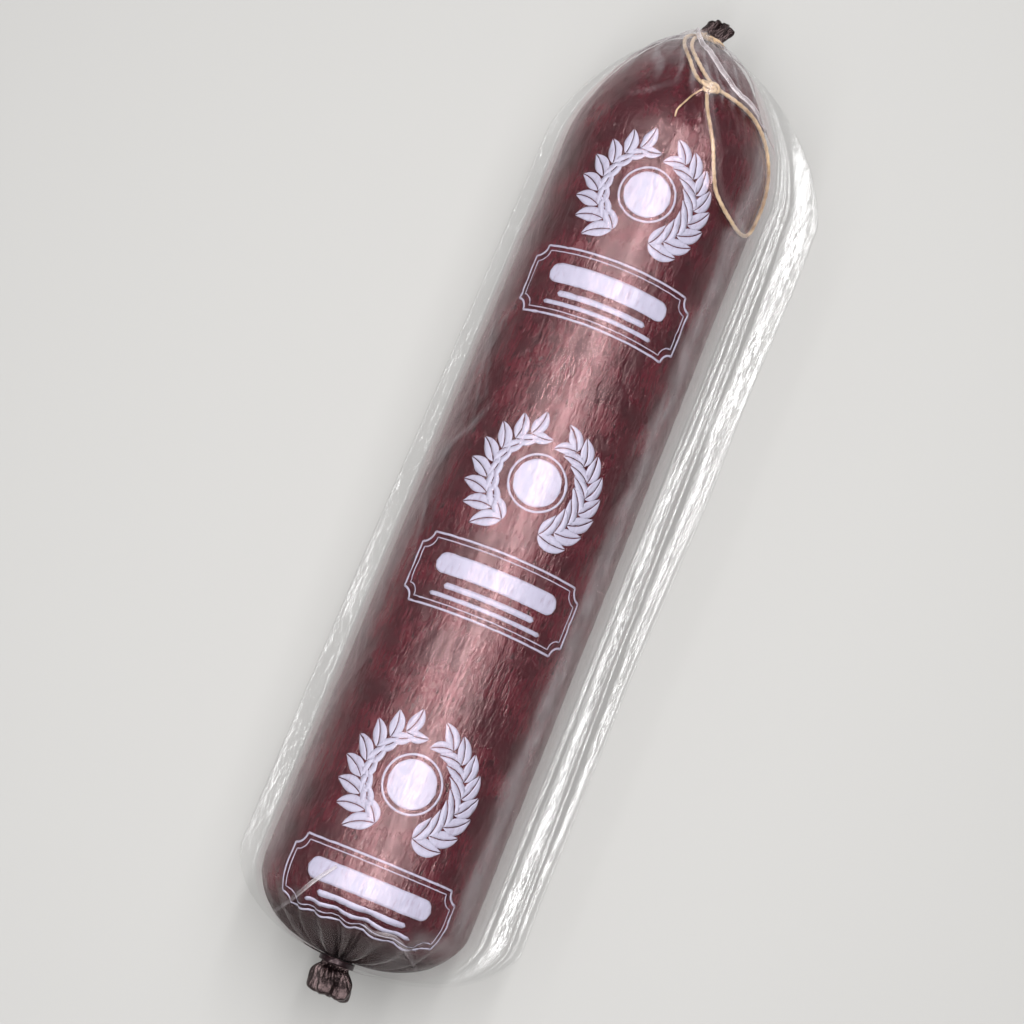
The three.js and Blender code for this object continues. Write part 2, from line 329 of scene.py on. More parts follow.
@dataclass(frozen=True)
class SausageShape:
    """The outline that every piece follows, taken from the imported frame. Sizes in millimetres."""

    radius: float
    half_length: float
    axis_height: float
    casing_floor: float
    blunt: GatheredEnd = BLUNT_END
    tied: GatheredEnd = TIED_END
    swell_height: float = 0.3
    dent_height: float = 0.09
    meridian_step: float = 0.25

    @classmethod
    def from_frame(cls) -> SausageShape:
        """Reads the casing's radius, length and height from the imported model."""
        low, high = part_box("filled_casing")
        wrap_low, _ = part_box("twine_neck_wrap")
        clip_low, clip_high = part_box("neck_clip")
        width = (high[1] - low[1]) / MM
        return cls(
            radius=width / 2 / math.cos(RING_STEP / 2),
            half_length=wrap_low[0] / MM - FIT_GAP,
            axis_height=(clip_low[2] + clip_high[2]) / 2 / MM + BLUNT_END.neck_drop,
            casing_floor=low[2] / MM,
        )

    def end_at(self, x: float) -> GatheredEnd:
        """Returns the end that x is nearer to."""
        return self.blunt if x < 0 else self.tied

    def section(self, x: float) -> Section:
        """Returns the plain, unwrinkled cross-section at x."""
        end = self.end_at(x)
        swell = self.radius - end.neck_radius
        along = min(max(1 - (self.half_length - abs(x)) / end.length, 0.0), 1.0)
        across = (1 - along**end.fullness) ** (1 / end.fullness)
        axial = along ** (end.fullness - 1) / end.length
        radial = across ** (end.fullness - 1) / swell
        size = math.hypot(axial, radial)
        return Section(
            along=along,
            radius=end.neck_radius + swell * across,
            centre_y=end.neck_y * along**2,
            centre_z=self.axis_height - end.neck_drop * along**2,
            axial=end.side * axial / size,
            radial=radial / size,
        )

    def place(self, x: float, turn: float, lift: float, floor: float) -> Vector:
        """Returns a point lifted off the plain surface, no lower than the floor given."""
        section = self.section(x)
        reach = section.radius + lift * section.radial
        return Vector((
            x + lift * section.axial,
            section.centre_y + reach * math.cos(turn),
            max(section.centre_z + reach * math.sin(turn), floor),
        ))

    def unevenness(self, x: float, turn: float) -> float:
        """Returns the slow swells and small dents of a stuffed, air-dried casing."""
        y, z = math.cos(turn), math.sin(turn)
        swells = self.swell_height * noise.noise(Vector((x / 60, 0.9 * y, 0.9 * z)))
        dents = self.dent_height * noise.noise(Vector((x / 10, 5 * y, 5 * z)))
        return swells + dents

    def pleat(self, x: float, turn: float) -> float:
        """Returns how deep the gathered folds cut in at a place, as a share of the radius there."""
        section = self.section(x)
        if section.along <= 0:
            return 0.0
        end = self.end_at(x)
        y, z = math.cos(turn), math.sin(turn)
        drift = 0.24 * noise.noise(Vector((2.1 * y, 2.1 * z, x / 26 + 9 * end.side)))
        fold = abs(math.cos(end.pleats / 2 * (turn + drift)))
        uneven = 0.65 + 0.5 * noise.noise(Vector((3.7 * y, 3.7 * z, 4.0 * end.side)))
        return end.pleat_depth * uneven * section.along**end.pleat_reach * (1 - fold) ** 0.8

    def meridian_x(self, run: float) -> float:
        """Returns the x that lies a distance along the surface from the middle.

        Args:
            run: the distance, which is negative towards the blunt end.

        Returns:
            The x, short of the neck.
        """
        end = self.end_at(run)
        shoulder = self.half_length - end.length
        if abs(run) <= shoulder:
            return run
        x, left = shoulder, abs(run) - shoulder
        while left > 0 and x < self.half_length - 0.5:
            x += min(self.meridian_step, left) * max(self.section(end.side * x).radial, 0.05)
            left -= self.meridian_step
        return end.side * x


# --------------------------------------------------------------------------------------------------
# Finishes
# --------------------------------------------------------------------------------------------------
@dataclass(frozen=True)
class FibrousCasing:
    """Fibrous casing: cellulose paper dyed burgundy and shrunk onto the dried meat.

    The dye is uneven over the grain of the meat, the surface is satin, and it is covered in fine wrinkles
    that run lengthwise, their troughs darkened with painted shade. Where it is gathered it lies several layers
    thick, and painted shade of the deep pleats takes it to nearly black.
    """

    name: str = "fibrous_casing"
    deep: str = "#260810"
    body: str = "#49121e"
    pale: str = "#65232e"
    speck: str = "#22090f"
    # Nearly black: the layered casing's own darker colour, deepened by painted shade of the pleats.
    gathered_layers_and_shade: str = "#080304"
    glint: str = "#ffdcdc"
    cloud_size: float = 14.0
    grain: tuple[float, float] = (6.0, 1.4)
    fleck: tuple[float, float] = (4.2, 1.9)
    pore_size: float = 1.6
    wrinkle_height: float = 0.75
    pore_depth: float = 0.3
    roughness: float = 0.23
    blunt_shade_span: tuple[float, float] = (7.0, 20.0)
    tied_shade_span: tuple[float, float] = (-16.0, 4.0)

    def make(self, shape: SausageShape) -> bpy.types.Material:
        """Builds the material; the shape says where the gathered ends begin."""
        material, tree, output = new_material(self.name)
        coords = add_node(tree, "TexCoord").outputs["Object"]
        stretched = add_node(tree, "Mapping", {"Vector": coords, "Scale": grain_scale(*self.grain)})
        grain = add_node(tree, "TexNoise", {
            "Vector": stretched.outputs["Vector"], "Scale": 1.0, "Detail": 4.0, "Roughness": 0.62,
        })
        clouds = add_node(tree, "TexNoise", {
            "Vector": coords, "Scale": 1 / (self.cloud_size * MM), "Detail": 5.0,
        })
        tone = add_node(tree, "ValToRGB", {"Fac": clouds.outputs["Fac"]})
        set_ramp(tone, [(0.22, srgb(self.deep)), (0.5, srgb(self.body)), (0.82, srgb(self.pale))])
        # Painted shade: the noise that raises the wrinkles' bump also darkens the casing in its troughs, down
        # to 45 percent.
        grain_trough_shade = add_node(tree, "ValToRGB", {"Fac": grain.outputs["Fac"]})
        set_ramp(grain_trough_shade, [(0.32, grey(0.45)), (0.6, grey(1.0))])
        tone_with_trough_shade = add_node(tree, "Mix", {
            "Factor": 0.75, 6: tone.outputs["Color"], 7: grain_trough_shade.outputs["Color"],
        }, data_type="RGBA", blend_type="MULTIPLY")
        fat = add_node(tree, "Mapping", {"Vector": coords, "Scale": grain_scale(*self.fleck)})
        flecks = add_node(tree, "TexNoise", {
            "Vector": fat.outputs["Vector"], "Scale": 1.0, "Detail": 2.0, "Roughness": 0.5,
        })
        fleck_mask = add_node(tree, "ValToRGB", {"Fac": flecks.outputs["Fac"]})
        set_ramp(fleck_mask, [(0.3, grey(1.0)), (0.37, grey(0.0))])
        flecked = add_node(tree, "Mix", {
            "Factor": fleck_mask.outputs["Color"], 6: tone_with_trough_shade.outputs[2], 7: srgb(self.speck),
        }, data_type="RGBA")
        # Painted shade of the gathered pleats: towards both necks the casing is darkened to nearly black by x
        # alone.
        x = add_node(tree, "SeparateXYZ", {"Vector": coords}).outputs["X"]
        reach = shape.half_length - shape.blunt.length
        blunt_end_shade = add_node(tree, "MapRange", {
            "Value": x, "From Min": -(reach + self.blunt_shade_span[0]) * MM,
            "From Max": -(reach + self.blunt_shade_span[1]) * MM,
        }, interpolation_type="SMOOTHSTEP").outputs["Result"]
        tied_end_shade = add_node(tree, "MapRange", {
            "Value": x, "From Min": (shape.half_length + self.tied_shade_span[0]) * MM,
            "From Max": (shape.half_length + self.tied_shade_span[1]) * MM,
        }, interpolation_type="SMOOTHSTEP").outputs["Result"]
        gathered_layers_and_shade = add_node(tree, "Math", {0: blunt_end_shade, 1: tied_end_shade}, operation="MAXIMUM")
        colour = add_node(tree, "Mix", {
            "Factor": gathered_layers_and_shade.outputs[0], 6: flecked.outputs[2], 7: srgb(self.gathered_layers_and_shade),
        }, data_type="RGBA")
        fine = add_node(tree, "TexNoise", {
            "Vector": coords, "Scale": 1 / (self.pore_size * MM), "Detail": 3.0, "Roughness": 0.6,
        })
        wrinkles = add_node(tree, "Bump", {
            "Height": grain.outputs["Fac"], "Strength": 0.9, "Distance": self.wrinkle_height * MM,
        })
        pores = add_node(tree, "Bump", {
            "Height": fine.outputs["Fac"], "Strength": 0.7, "Distance": self.pore_depth * MM,
            "Normal": wrinkles.outputs["Normal"],
        })
        sheen_break = add_node(tree, "MapRange", {
            "Value": clouds.outputs["Fac"], "To Min": self.roughness - 0.07, "To Max": self.roughness + 0.1,
        })
        skin = add_node(tree, "BsdfPrincipled", {
            "Base Color": colour.outputs[2], "Roughness": sheen_break.outputs["Result"], "IOR": 1.5,
            "Specular IOR Level": 1.0, "Specular Tint": srgb(self.glint),
            "Normal": pores.outputs["Normal"],
        })
        tree.links.new(skin.outputs[0], output.inputs["Surface"])
        return material


@dataclass(frozen=True)
class PrintingInk:
    """Flexographic ink: an opaque lavender-white film, a little thin where the casing's grain stands up."""

    name: str = "flexographic_ink"
    solid: str = "#b0acc0"
    thin: str = "#9a8c9f"
    wear: tuple[float, float] = (5.0, 1.2)
    film_height: float = 0.25
    roughness: float = 0.42

    def make(self) -> bpy.types.Material:
        """Builds the material."""
        material, tree, output = new_material(self.name)
        coords = add_node(tree, "TexCoord").outputs["Object"]
        stretched = add_node(tree, "Mapping", {"Vector": coords, "Scale": grain_scale(*self.wear)})
        wear = add_node(tree, "TexNoise", {
            "Vector": stretched.outputs["Vector"], "Scale": 1.0, "Detail": 4.0, "Roughness": 0.6,
        })
        tone = add_node(tree, "ValToRGB", {"Fac": wear.outputs["Fac"]})
        set_ramp(tone, [(0.24, srgb(self.thin)), (0.46, srgb(self.solid))])
        bump = add_node(tree, "Bump", {
            "Height": wear.outputs["Fac"], "Strength": 0.6, "Distance": self.film_height * MM,
        })
        ink = add_node(tree, "BsdfPrincipled", {
            "Base Color": tone.outputs["Color"], "Roughness": self.roughness,
            "Normal": bump.outputs["Normal"],
        })
        tree.links.new(ink.outputs[0], output.inputs["Surface"])
        return material


@dataclass(frozen=True)
class JuteTwine:
    """Jute twine: plies spun from coarse bast fibre, matt and hairy, in light and dark patches."""

    name: str = "jute_twine"
    light: str = "#cdb08e"
    dark: str = "#8c6c4a"
    fibre: float = 0.5
    patch: float = 7.0

    def make(self) -> bpy.types.Material:
        """Builds the material."""
        material, tree, output = new_material(self.name)
        coords = add_node(tree, "TexCoord").outputs["Object"]
        fibres = add_node(tree, "TexNoise", {
            "Vector": coords, "Scale": 1 / (self.fibre * MM), "Detail": 4.0, "Roughness": 0.7,
        })
        patches = add_node(tree, "TexNoise", {
            "Vector": coords, "Scale": 1 / (self.patch * MM), "Detail": 2.0,
        })
        both = add_node(
            tree, "Math", {0: fibres.outputs["Fac"], 1: patches.outputs["Fac"]}, operation="ADD",
        )
        half = add_node(tree, "Math", {0: both.outputs[0], 1: 0.5}, operation="MULTIPLY")
        tone = add_node(tree, "ValToRGB", {"Fac": half.outputs[0]})
        set_ramp(tone, [(0.36, srgb(self.dark)), (0.56, srgb(self.light))])
        bump = add_node(tree, "Bump", {
            "Height": fibres.outputs["Fac"], "Strength": 0.8, "Distance": 0.15 * MM,
        })
        yarn = add_node(tree, "BsdfPrincipled", {
            "Base Color": tone.outputs["Color"], "Roughness": 0.85, "Sheen Weight": 0.3,
            "Sheen Roughness": 0.5, "Normal": bump.outputs["Normal"],
        })
        tree.links.new(yarn.outputs[0], output.inputs["Surface"])
        return material


@dataclass(frozen=True)
class LacqueredSteel:
    """Steel clip wire in dark lacquer, rubbed bright in places by the clipping jaws."""

    name: str = "lacquered_steel_wire"
    lacquer: str = "#2a1a1e"
    bare: str = "#6a5c5c"
    rub_size: float = 1.5

    def make(self) -> bpy.types.Material:
        """Builds the material."""
        material, tree, output = new_material(self.name)
        coords = add_node(tree, "TexCoord").outputs["Object"]
        rub = add_node(tree, "TexNoise", {
            "Vector": coords, "Scale": 1 / (self.rub_size * MM), "Detail": 4.0,
        })
        tone = add_node(tree, "ValToRGB", {"Fac": rub.outputs["Fac"]})
        set_ramp(tone, [(0.55, srgb(self.lacquer)), (0.72, srgb(self.bare))])
        bump = add_node(tree, "Bump", {
            "Height": rub.outputs["Fac"], "Strength": 0.3, "Distance": 0.1 * MM,
        })
        wire = add_node(tree, "BsdfPrincipled", {
            "Base Color": tone.outputs["Color"], "Roughness": 0.35, "Metallic": 0.6,
            "Normal": bump.outputs["Normal"],
        })
        tree.links.new(wire.outputs[0], output.inputs["Surface"])
        return material


@dataclass(frozen=True)
class PouchFilmFinish:
    """Clear vacuum-pouch film: nylon and polyethylene, blown, glossy, a little milky where it turns away.

    Head on it is almost invisible; towards the outline it mirrors the room and its haze adds up. It reads
    the film's own loft: 0 where it is wetted onto the casing, above 0 where it hangs free or is doubled,
    and -1 in a sealed edge. Along the front film's two outlines the loft also carries a painted milky sheen.
    """

    name: str = "clear_pouch_film"
    clear: str = "#fdfdfd"
    milk: str = "#e9e1e5"
    glint_wetted: str = "#ffcccf"
    glint_free: str = "#ffffff"
    roughness: float = 0.13
    ripple: tuple[float, float] = (12.0, 5.0)
    ripple_height: float = 0.9
    print_through: tuple[float, float] = (5.0, 1.3)
    print_through_height: float = 0.22
    haze_edge: float = 0.07
    haze_lifted: float = 0.075
    mirror_sealed: float = 0.02
    mirror_body: float = 0.017
    mirror_edge: float = 0.17
    mirror_rise: float = 5.0
    haze_rise: float = 4.0
    tight_and_shaded_span: tuple[float, float] = (8.0, 36.0)
    tight_and_shaded_share: float = 0.15

    def make(self, shape: SausageShape) -> bpy.types.Material:
        """Builds the material; the shape says where the film is drawn tight round the blunt neck, where its
        haze and its reflection are also cut back as painted shade over the dark pleats.
        """
        material, tree, output = new_material(self.name)
        coords = add_node(tree, "TexCoord").outputs["Object"]
        ripple_map = add_node(tree, "Mapping", {"Vector": coords, "Scale": grain_scale(*self.ripple)})
        ripples = add_node(tree, "TexNoise", {
            "Vector": ripple_map.outputs["Vector"], "Scale": 1.0, "Detail": 3.0,
        })
        fine_map = add_node(tree, "Mapping", {"Vector": coords, "Scale": grain_scale(*self.print_through)})
        fine = add_node(tree, "TexNoise", {"Vector": fine_map.outputs["Vector"], "Scale": 1.0, "Detail": 3.0})
        slow = add_node(tree, "Bump", {
            "Height": ripples.outputs["Fac"], "Strength": 0.5, "Distance": self.ripple_height * MM,
        })
        bump = add_node(tree, "Bump", {
            "Height": fine.outputs["Fac"], "Strength": 0.7, "Distance": self.print_through_height * MM,
            "Normal": slow.outputs["Normal"],
        })
        facing = add_node(tree, "LayerWeight", {
            "Blend": 0.5, "Normal": bump.outputs["Normal"],
        }).outputs["Facing"]
        steep = add_node(tree, "Math", {0: facing, 1: self.mirror_rise}, operation="POWER").outputs[0]
        soft = add_node(tree, "Math", {0: facing, 1: self.haze_rise}, operation="POWER").outputs[0]
        haze = add_node(tree, "MapRange", {"Value": soft, "To Max": self.haze_edge}).outputs["Result"]
        patches = add_node(tree, "MapRange", {
            "Value": ripples.outputs["Fac"], "From Min": 0.3, "From Max": 0.7, "To Min": 0.55, "To Max": 1.5,
        }).outputs["Result"]
        patchy = add_node(tree, "Math", {0: haze, 1: patches}, operation="MULTIPLY").outputs[0]
        loft = add_node(tree, "Attribute", attribute_name="loft").outputs["Fac"]
        free_loft = add_node(tree, "Math", {0: loft, 1: 0.0}, operation="MAXIMUM").outputs[0]
        lifted = add_node(tree, "Math", {0: free_loft, 1: patches}, operation="MULTIPLY").outputs[0]
        head_on = add_node(tree, "MapRange", {
            "Value": loft, "From Min": -1.0, "From Max": 0.0,
            "To Min": self.mirror_sealed, "To Max": self.mirror_body,
        }).outputs["Result"]
        mirror = add_node(
            tree, "Math", {0: steep, 1: self.mirror_edge, 2: head_on}, operation="MULTIPLY_ADD",
        )
        x = add_node(tree, "SeparateXYZ", {"Vector": coords}).outputs["X"]
        milky = add_node(
            tree, "Math", {0: lifted, 1: self.haze_lifted, 2: patchy}, operation="MULTIPLY_ADD",
        )
        # Near the blunt neck the haze and the reflection both drop to a small share: the film is drawn tight
        # there, and the cut reflection is painted shade over the pleats.
        free = add_node(tree, "MapRange", {
            "Value": x, "From Min": (self.tight_and_shaded_span[0] - shape.half_length) * MM,
            "From Max": (self.tight_and_shaded_span[1] - shape.half_length) * MM,
            "To Min": self.tight_and_shaded_share, "To Max": 1.0,
        }, interpolation_type="SMOOTHSTEP").outputs["Result"]
        haze_share = add_node(tree, "Math", {0: milky.outputs[0], 1: free}, operation="MULTIPLY")
        mirror_share = add_node(tree, "Math", {0: mirror.outputs[0], 1: free}, operation="MULTIPLY")
        clear = add_node(tree, "BsdfTransparent", {"Color": srgb(self.clear)})
        milk = add_node(tree, "BsdfDiffuse", {"Color": srgb(self.milk), "Normal": bump.outputs["Normal"]})
        body = add_node(tree, "MixShader", {
            0: haze_share.outputs[0], 1: clear.outputs[0], 2: milk.outputs[0],
        })
        off_casing = add_node(tree, "Math", {0: loft}, operation="ABSOLUTE", use_clamp=True)
        glint = add_node(tree, "Mix", {
            "Factor": off_casing.outputs[0], 6: srgb(self.glint_wetted), 7: srgb(self.glint_free),
        }, data_type="RGBA")
        gloss = add_node(tree, "BsdfGlossy", {
            "Color": glint.outputs[2], "Roughness": self.roughness, "Normal": bump.outputs["Normal"],
        })
        film = add_node(tree, "MixShader", {
            0: mirror_share.outputs[0], 1: body.outputs[0], 2: gloss.outputs[0],
        })
        tree.links.new(film.outputs[0], output.inputs["Surface"])
        return material


@dataclass(frozen=True)
class StudioFloorFinish:
    """Matt, pale studio paper with a little tooth."""

    name: str = "studio_paper"
    colour: str = "#afaeac"
    tooth_size: float = 3.0

    def make(self) -> bpy.types.Material:
        """Builds the material."""
        material, tree, output = new_material(self.name)
        coords = add_node(tree, "TexCoord").outputs["Object"]
        tooth = add_node(tree, "TexNoise", {
            "Vector": coords, "Scale": 1 / (self.tooth_size * MM), "Detail": 2.0,
        })
        bump = add_node(tree, "Bump", {
            "Height": tooth.outputs["Fac"], "Strength": 0.05, "Distance": 0.1 * MM,
        })
        paper = add_node(tree, "BsdfPrincipled", {
            "Base Color": srgb(self.colour), "Roughness": 0.9, "Normal": bump.outputs["Normal"],
        })
        tree.links.new(paper.outputs[0], output.inputs["Surface"])
        return material


# --------------------------------------------------------------------------------------------------
# Filled casing
# --------------------------------------------------------------------------------------------------
@dataclass
class FilledCasing:
    """The dried meat in its casing, with the gathered ends and their tufts."""

    shape: SausageShape
    ring_points: int = 112
    body_steps: int = 136
    dome_steps: int = 26
    tuft_fold_depth: float = 0.42
    rim_raggedness: float = 1.1
    dimple: float = 2.5
    wrinkle_height: float = 0.27
    pit_depth: float = 0.34

    def end_profile(self, end: GatheredEnd) -> list[tuple[float, float]]:
        """Returns one end's outline as x and radius, from the middle of its tuft in to its shoulder."""
        half = self.shape.half_length
        tip = half + end.tuft_length
        flare = end.tuft_length - end.neck_length
        outline = [(tip - self.dimple, 0.0), (tip - 0.8 * self.dimple, 0.35 * end.tuft_radius)]
        outline += [(tip, 0.55 * end.tuft_radius), (tip - 0.4, 0.76 * end.tuft_radius)]
        for share in (0.9, 0.72, 0.55, 0.4, 0.26, 0.13, 0.05):
            swell = math.sin(math.pi / 2 * min(share / 0.45, 1.0)) - 0.3 * max(share - 0.55, 0)
            radius = lerp(end.neck_radius, end.tuft_radius, swell)
            outline.append((half + end.neck_length + flare * share, radius))
        for share in (1.0, 0.66, 0.33, 0.08):
            outline.append((half + end.neck_length * share, end.neck_radius))
        for step in range(self.dome_steps):
            turn = math.pi / 2 * (step / self.dome_steps) ** 1.15
            x = half - end.length * (1 - math.cos(turn) ** (2 / end.fullness))
            outline.append((x, self.shape.section(end.side * x).radius))
        return [(end.side * x, radius) for x, radius in outline]

    def build(self) -> bpy.types.Object:
        """Turns the outline on the lathe, then gathers, creases and settles it."""
        blunt, tied = self.shape.blunt, self.shape.tied
        start = blunt.length - self.shape.half_length
        finish = self.shape.half_length - tied.length
        body = [
            (lerp(start, finish, step / self.body_steps), self.shape.radius)
            for step in range(self.body_steps + 1)
        ]
        profile = self.end_profile(blunt) + body + self.end_profile(tied)[::-1]
        casing = spin_profile("filled_casing_skin", profile, self.shape.axis_height, self.ring_points)
        apply_modifier(casing, "SUBSURF", levels=1, render_levels=1)
        for vertex in casing.data.vertices:
            vertex.co = self.sculpted(vertex.co / MM) * MM
        casing.data.update()
        smooth(casing)
        return casing

    def sculpted(self, point: Vector) -> Vector:
        """Moves one point of the plain turned shape to its place on the real, gathered one."""
        x = point.x
        across, up = point.y, point.z - self.shape.axis_height
        radius = math.hypot(across, up)
        turn = math.atan2(up, across)
        if abs(x) > self.shape.half_length:
            return self.tuft_point(x, radius, turn)
        section = self.shape.section(x)
        cut = self.shape.pleat(x, turn)
        lift = self.shape.unevenness(x, turn) + self.grain(x, turn) - cut * section.radius
        return self.shape.place(x, turn, lift, self.shape.casing_floor)

    def grain(self, x: float, turn: float) -> float:
        """Returns the fine wrinkles that run lengthwise and the short pits between them."""
        y, z = math.cos(turn), math.sin(turn)
        wrinkle = noise.noise(Vector((x / 5.5, 17 * y, 17 * z)))
        fine = noise.noise(Vector((x / 2.6 + 40, 30 * y, 30 * z)))
        pit = smoothstep(noise.noise(Vector((x / 3.6, 19 * y + 7, 19 * z))), 0.28, 0.6)
        return self.wrinkle_height * wrinkle + 0.4 * self.wrinkle_height * fine - self.pit_depth * pit

    def tuft_point(self, x: float, radius: float, turn: float) -> Vector:
        """Returns a point on a neck or on the folded tuft beyond it."""
        end = self.shape.end_at(x)
        out = abs(x) - self.shape.half_length
        flare = end.tuft_length - end.neck_length
        spread = smoothstep(out, end.neck_length, end.tuft_length - 0.3 * flare)
        drift = 0.5 * noise.noise(Vector((math.cos(turn), math.sin(turn), 5.0 * end.side + out / 14)))
        fold = abs(math.cos(end.tuft_folds / 2 * (turn + drift)))
        neck_cut = end.pleat_depth * (1 - abs(math.cos(end.pleats / 2 * turn))) * (1 - spread)
        tuft_cut = spread * self.tuft_fold_depth * (1 - fold) ** 0.7
        reach = radius * (1 - neck_cut - tuft_cut)
        edge = Vector((3 * math.cos(turn), 3 * math.sin(turn), 2.0))
        ragged = self.rim_raggedness * spread * noise.noise(edge)
        flatness = lerp(1.0, end.tuft_flatness, spread)
        return Vector((
            x + end.side * ragged,
            lerp(end.neck_y, end.tuft_y, spread) + reach * math.cos(turn),
            self.shape.axis_height - end.neck_drop + reach * flatness * math.sin(turn),
        ))


# --------------------------------------------------------------------------------------------------
# Printed emblem
# --------------------------------------------------------------------------------------------------
@dataclass
class PrintedEmblem:
    """A generic mark: a leaf wreath round a plain disc, and a plaque that holds three plain bars.

    It is drawn flat, u along the sausage and v round it, both in millimetres, and then pressed onto the
    casing. Each bar is its place from the plaque's middle, its half length and its half width.
    """

    shape: SausageShape
    run: float
    centre_turn: float = 90.0
    wreath_u: float = 18.5
    wreath_radius: float = 21.0
    leaf_length: float = 14.0
    leaf_width: float = 7.4
    leaf_pairs: int = 8
    leaf_spread: float = 0.62
    leaf_bend: float = 0.35
    half_vein: float = 0.22
    seal_radius: float = 10.0
    seal_gap: float = 1.9
    plaque_u: float = -28.5
    plaque_half_length: float = 15.0
    plaque_half_width: float = 38.5
    plaque_corner: float = 5.0
    plaque_inset: float = 2.2
    bars: tuple[tuple[float, float, float], ...] = ((3.6, 27.5, 4.4), (-5.2, 20.0, 1.3), (-9.6, 25.0, 0.9))
    line_width: float = 0.9
    cell: float = 1.0
    ink_lift: float = 0.14
    ink_thickness: float = 0.05
    rows: list[list[list[tuple[float, float]]]] = field(default_factory=list)

    def ribbon(
        self, centre: Callable[[float], tuple[float, float]], half: Callable[[float], tuple[float, float]],
        length: float, width: float,
    ) -> None:
        """Draws one stroke of ink.

        Args:
            centre: gives the point on the stroke's line for a share of its length.
            half: gives how far the ink reaches to each side of the line there, right and then left.
            length: the stroke's rough length, which sets how finely it is divided.
            width: its rough greatest width, for the same purpose.
        """
        steps = max(int(length / self.cell), 3)
        cells = max(int(width / self.cell), 1)
        rows = []
        for step in range(steps + 1):
            share = step / steps
            here = centre(share)
            ahead = centre(min(share + 1e-3, 1.0))
            behind = centre(max(share - 1e-3, 0.0))
            du, dv = ahead[0] - behind[0], ahead[1] - behind[1]
            size = math.hypot(du, dv) or 1.0
            right, left = half(share)
            rows.append([
                (here[0] - dv / size * offset, here[1] + du / size * offset)
                for offset in (lerp(-right, left, cell / cells) for cell in range(cells + 1))
            ])
        self.rows.append(rows)

    def leaf(self, u: float, v: float, heading: float, scale: float) -> None:
        """Draws one leaf as two halves with a bare vein between them."""
        length, width = self.leaf_length * scale, self.leaf_width * scale

        def midrib(share: float) -> tuple[float, float]:
            """Returns the point on the vein for a share of the leaf's length."""
            reach = length * share
            bend = heading + self.leaf_bend * (share - 0.5)
            return u + reach * math.cos(bend), v + reach * math.sin(bend)

        def edge(share: float) -> float:
            """Returns how far the leaf reaches from its vein there."""
            return max(0.5 * width * math.sin(math.pi * share**0.85) ** 0.8, self.half_vein + 0.02)

        self.ribbon(midrib, lambda share: (-self.half_vein, edge(share)), length, width / 2)
        self.ribbon(midrib, lambda share: (edge(share), -self.half_vein), length, width / 2)

    def bar(self, u: float, v: float, half_length: float, half_width: float) -> None:
        """Draws a plain bar with round ends that runs round the sausage."""
        def rounded(share: float) -> tuple[float, float]:
            """Returns how far the bar reaches to each side at a share of its length."""
            from_end = min(share, 1 - share) * 2 * half_length
            inside = min(from_end, half_width)
            reach = math.sqrt(max(half_width**2 - (half_width - inside) ** 2, 1e-4))
            return reach, reach

        self.ribbon(
            lambda share: (u, v + lerp(-half_length, half_length, share)), rounded,
            2 * half_length, 2 * half_width,
        )

    def ring(self, u: float, v: float, radius: float, width: float) -> None:
        """Draws a circle of even width."""
        self.arc(u, v, radius, 0.0, 2 * math.pi, width)

    def arc(self, u: float, v: float, radius: float, start: float, sweep: float, width: float) -> None:
        """Draws a part of a circle, from a starting angle through a sweep."""
        self.ribbon(
            lambda share: (
                u + radius * math.cos(start + sweep * share), v + radius * math.sin(start + sweep * share),
            ),
            lambda _: (width / 2, width / 2), sweep * radius, width,
        )

    def straight(self, first: tuple[float, float], last: tuple[float, float], width: float) -> None:
        """Draws a straight line of even width."""
        self.ribbon(
            lambda share: (lerp(first[0], last[0], share), lerp(first[1], last[1], share)),
            lambda _: (width / 2, width / 2), math.hypot(last[0] - first[0], last[1] - first[1]), width,
        )

    def frame_line(self, inset: float, width: float) -> None:
        """Draws the plaque's outline, an oblong with scooped-in corners."""
        half_u, half_v = self.plaque_half_length - inset, self.plaque_half_width - inset
        corner, middle = self.plaque_corner, self.plaque_u
        for sign in (-1, 1):
            side_u, side_v = middle + sign * half_u, sign * half_v
            self.straight((side_u, -half_v + corner), (side_u, half_v - corner), width)
            self.straight((middle - half_u + corner, side_v), (middle + half_u - corner, side_v), width)
        for sign_u, sign_v, start in ((1, 1, math.pi), (-1, 1, 1.5 * math.pi), (-1, -1, 0.0),
                                      (1, -1, 0.5 * math.pi)):
            self.arc(middle + sign_u * half_u, sign_v * half_v, corner, start, math.pi / 2, width)

    def draw(self) -> None:
        """Draws every stroke of the mark."""
        for side in (-1, 1):
            for pair in range(self.leaf_pairs):
                share = pair / (self.leaf_pairs - 1)
                swing = lerp(2.75, 0.5, share)
                u = self.wreath_u + self.wreath_radius * math.cos(swing)
                v = side * self.wreath_radius * math.sin(swing)
                heading = side * (swing - math.pi / 2)
                scale = lerp(0.95, 0.8, share)
                self.leaf(u, v, heading + self.leaf_spread * side, scale)
                self.leaf(u, v, heading - self.leaf_spread * side, 0.85 * scale)
        self.disc(self.wreath_u, self.seal_radius)
        self.ring(self.wreath_u, 0, self.seal_radius + self.seal_gap, self.line_width)
        self.frame_line(0.0, self.line_width)
        self.frame_line(self.plaque_inset, 0.5 * self.line_width)
        for offset, half_length, half_width in self.bars:
            self.bar(self.plaque_u + offset, 0, half_length, half_width)

    def disc(self, u: float, radius: float) -> None:
        """Draws a plain disc."""
        def half(share: float) -> tuple[float, float]:
            """Returns how far the disc reaches to each side at a share of its height."""
            reach = max(math.sqrt(max(1 - (2 * share - 1) ** 2, 0)) * radius, 0.05)
            return reach, reach

        self.ribbon(lambda share: (u, lerp(-radius, radius, share)), half, 2 * radius, 2 * radius)

    def on_casing(self, u: float, v: float) -> Vector:
        """Returns the place on the smooth casing for a point of the flat drawing."""
        x = self.shape.meridian_x(self.run + u)
        turn = math.radians(self.centre_turn) - v / self.shape.radius
        return self.shape.place(x, turn, 0.6, 0.0)

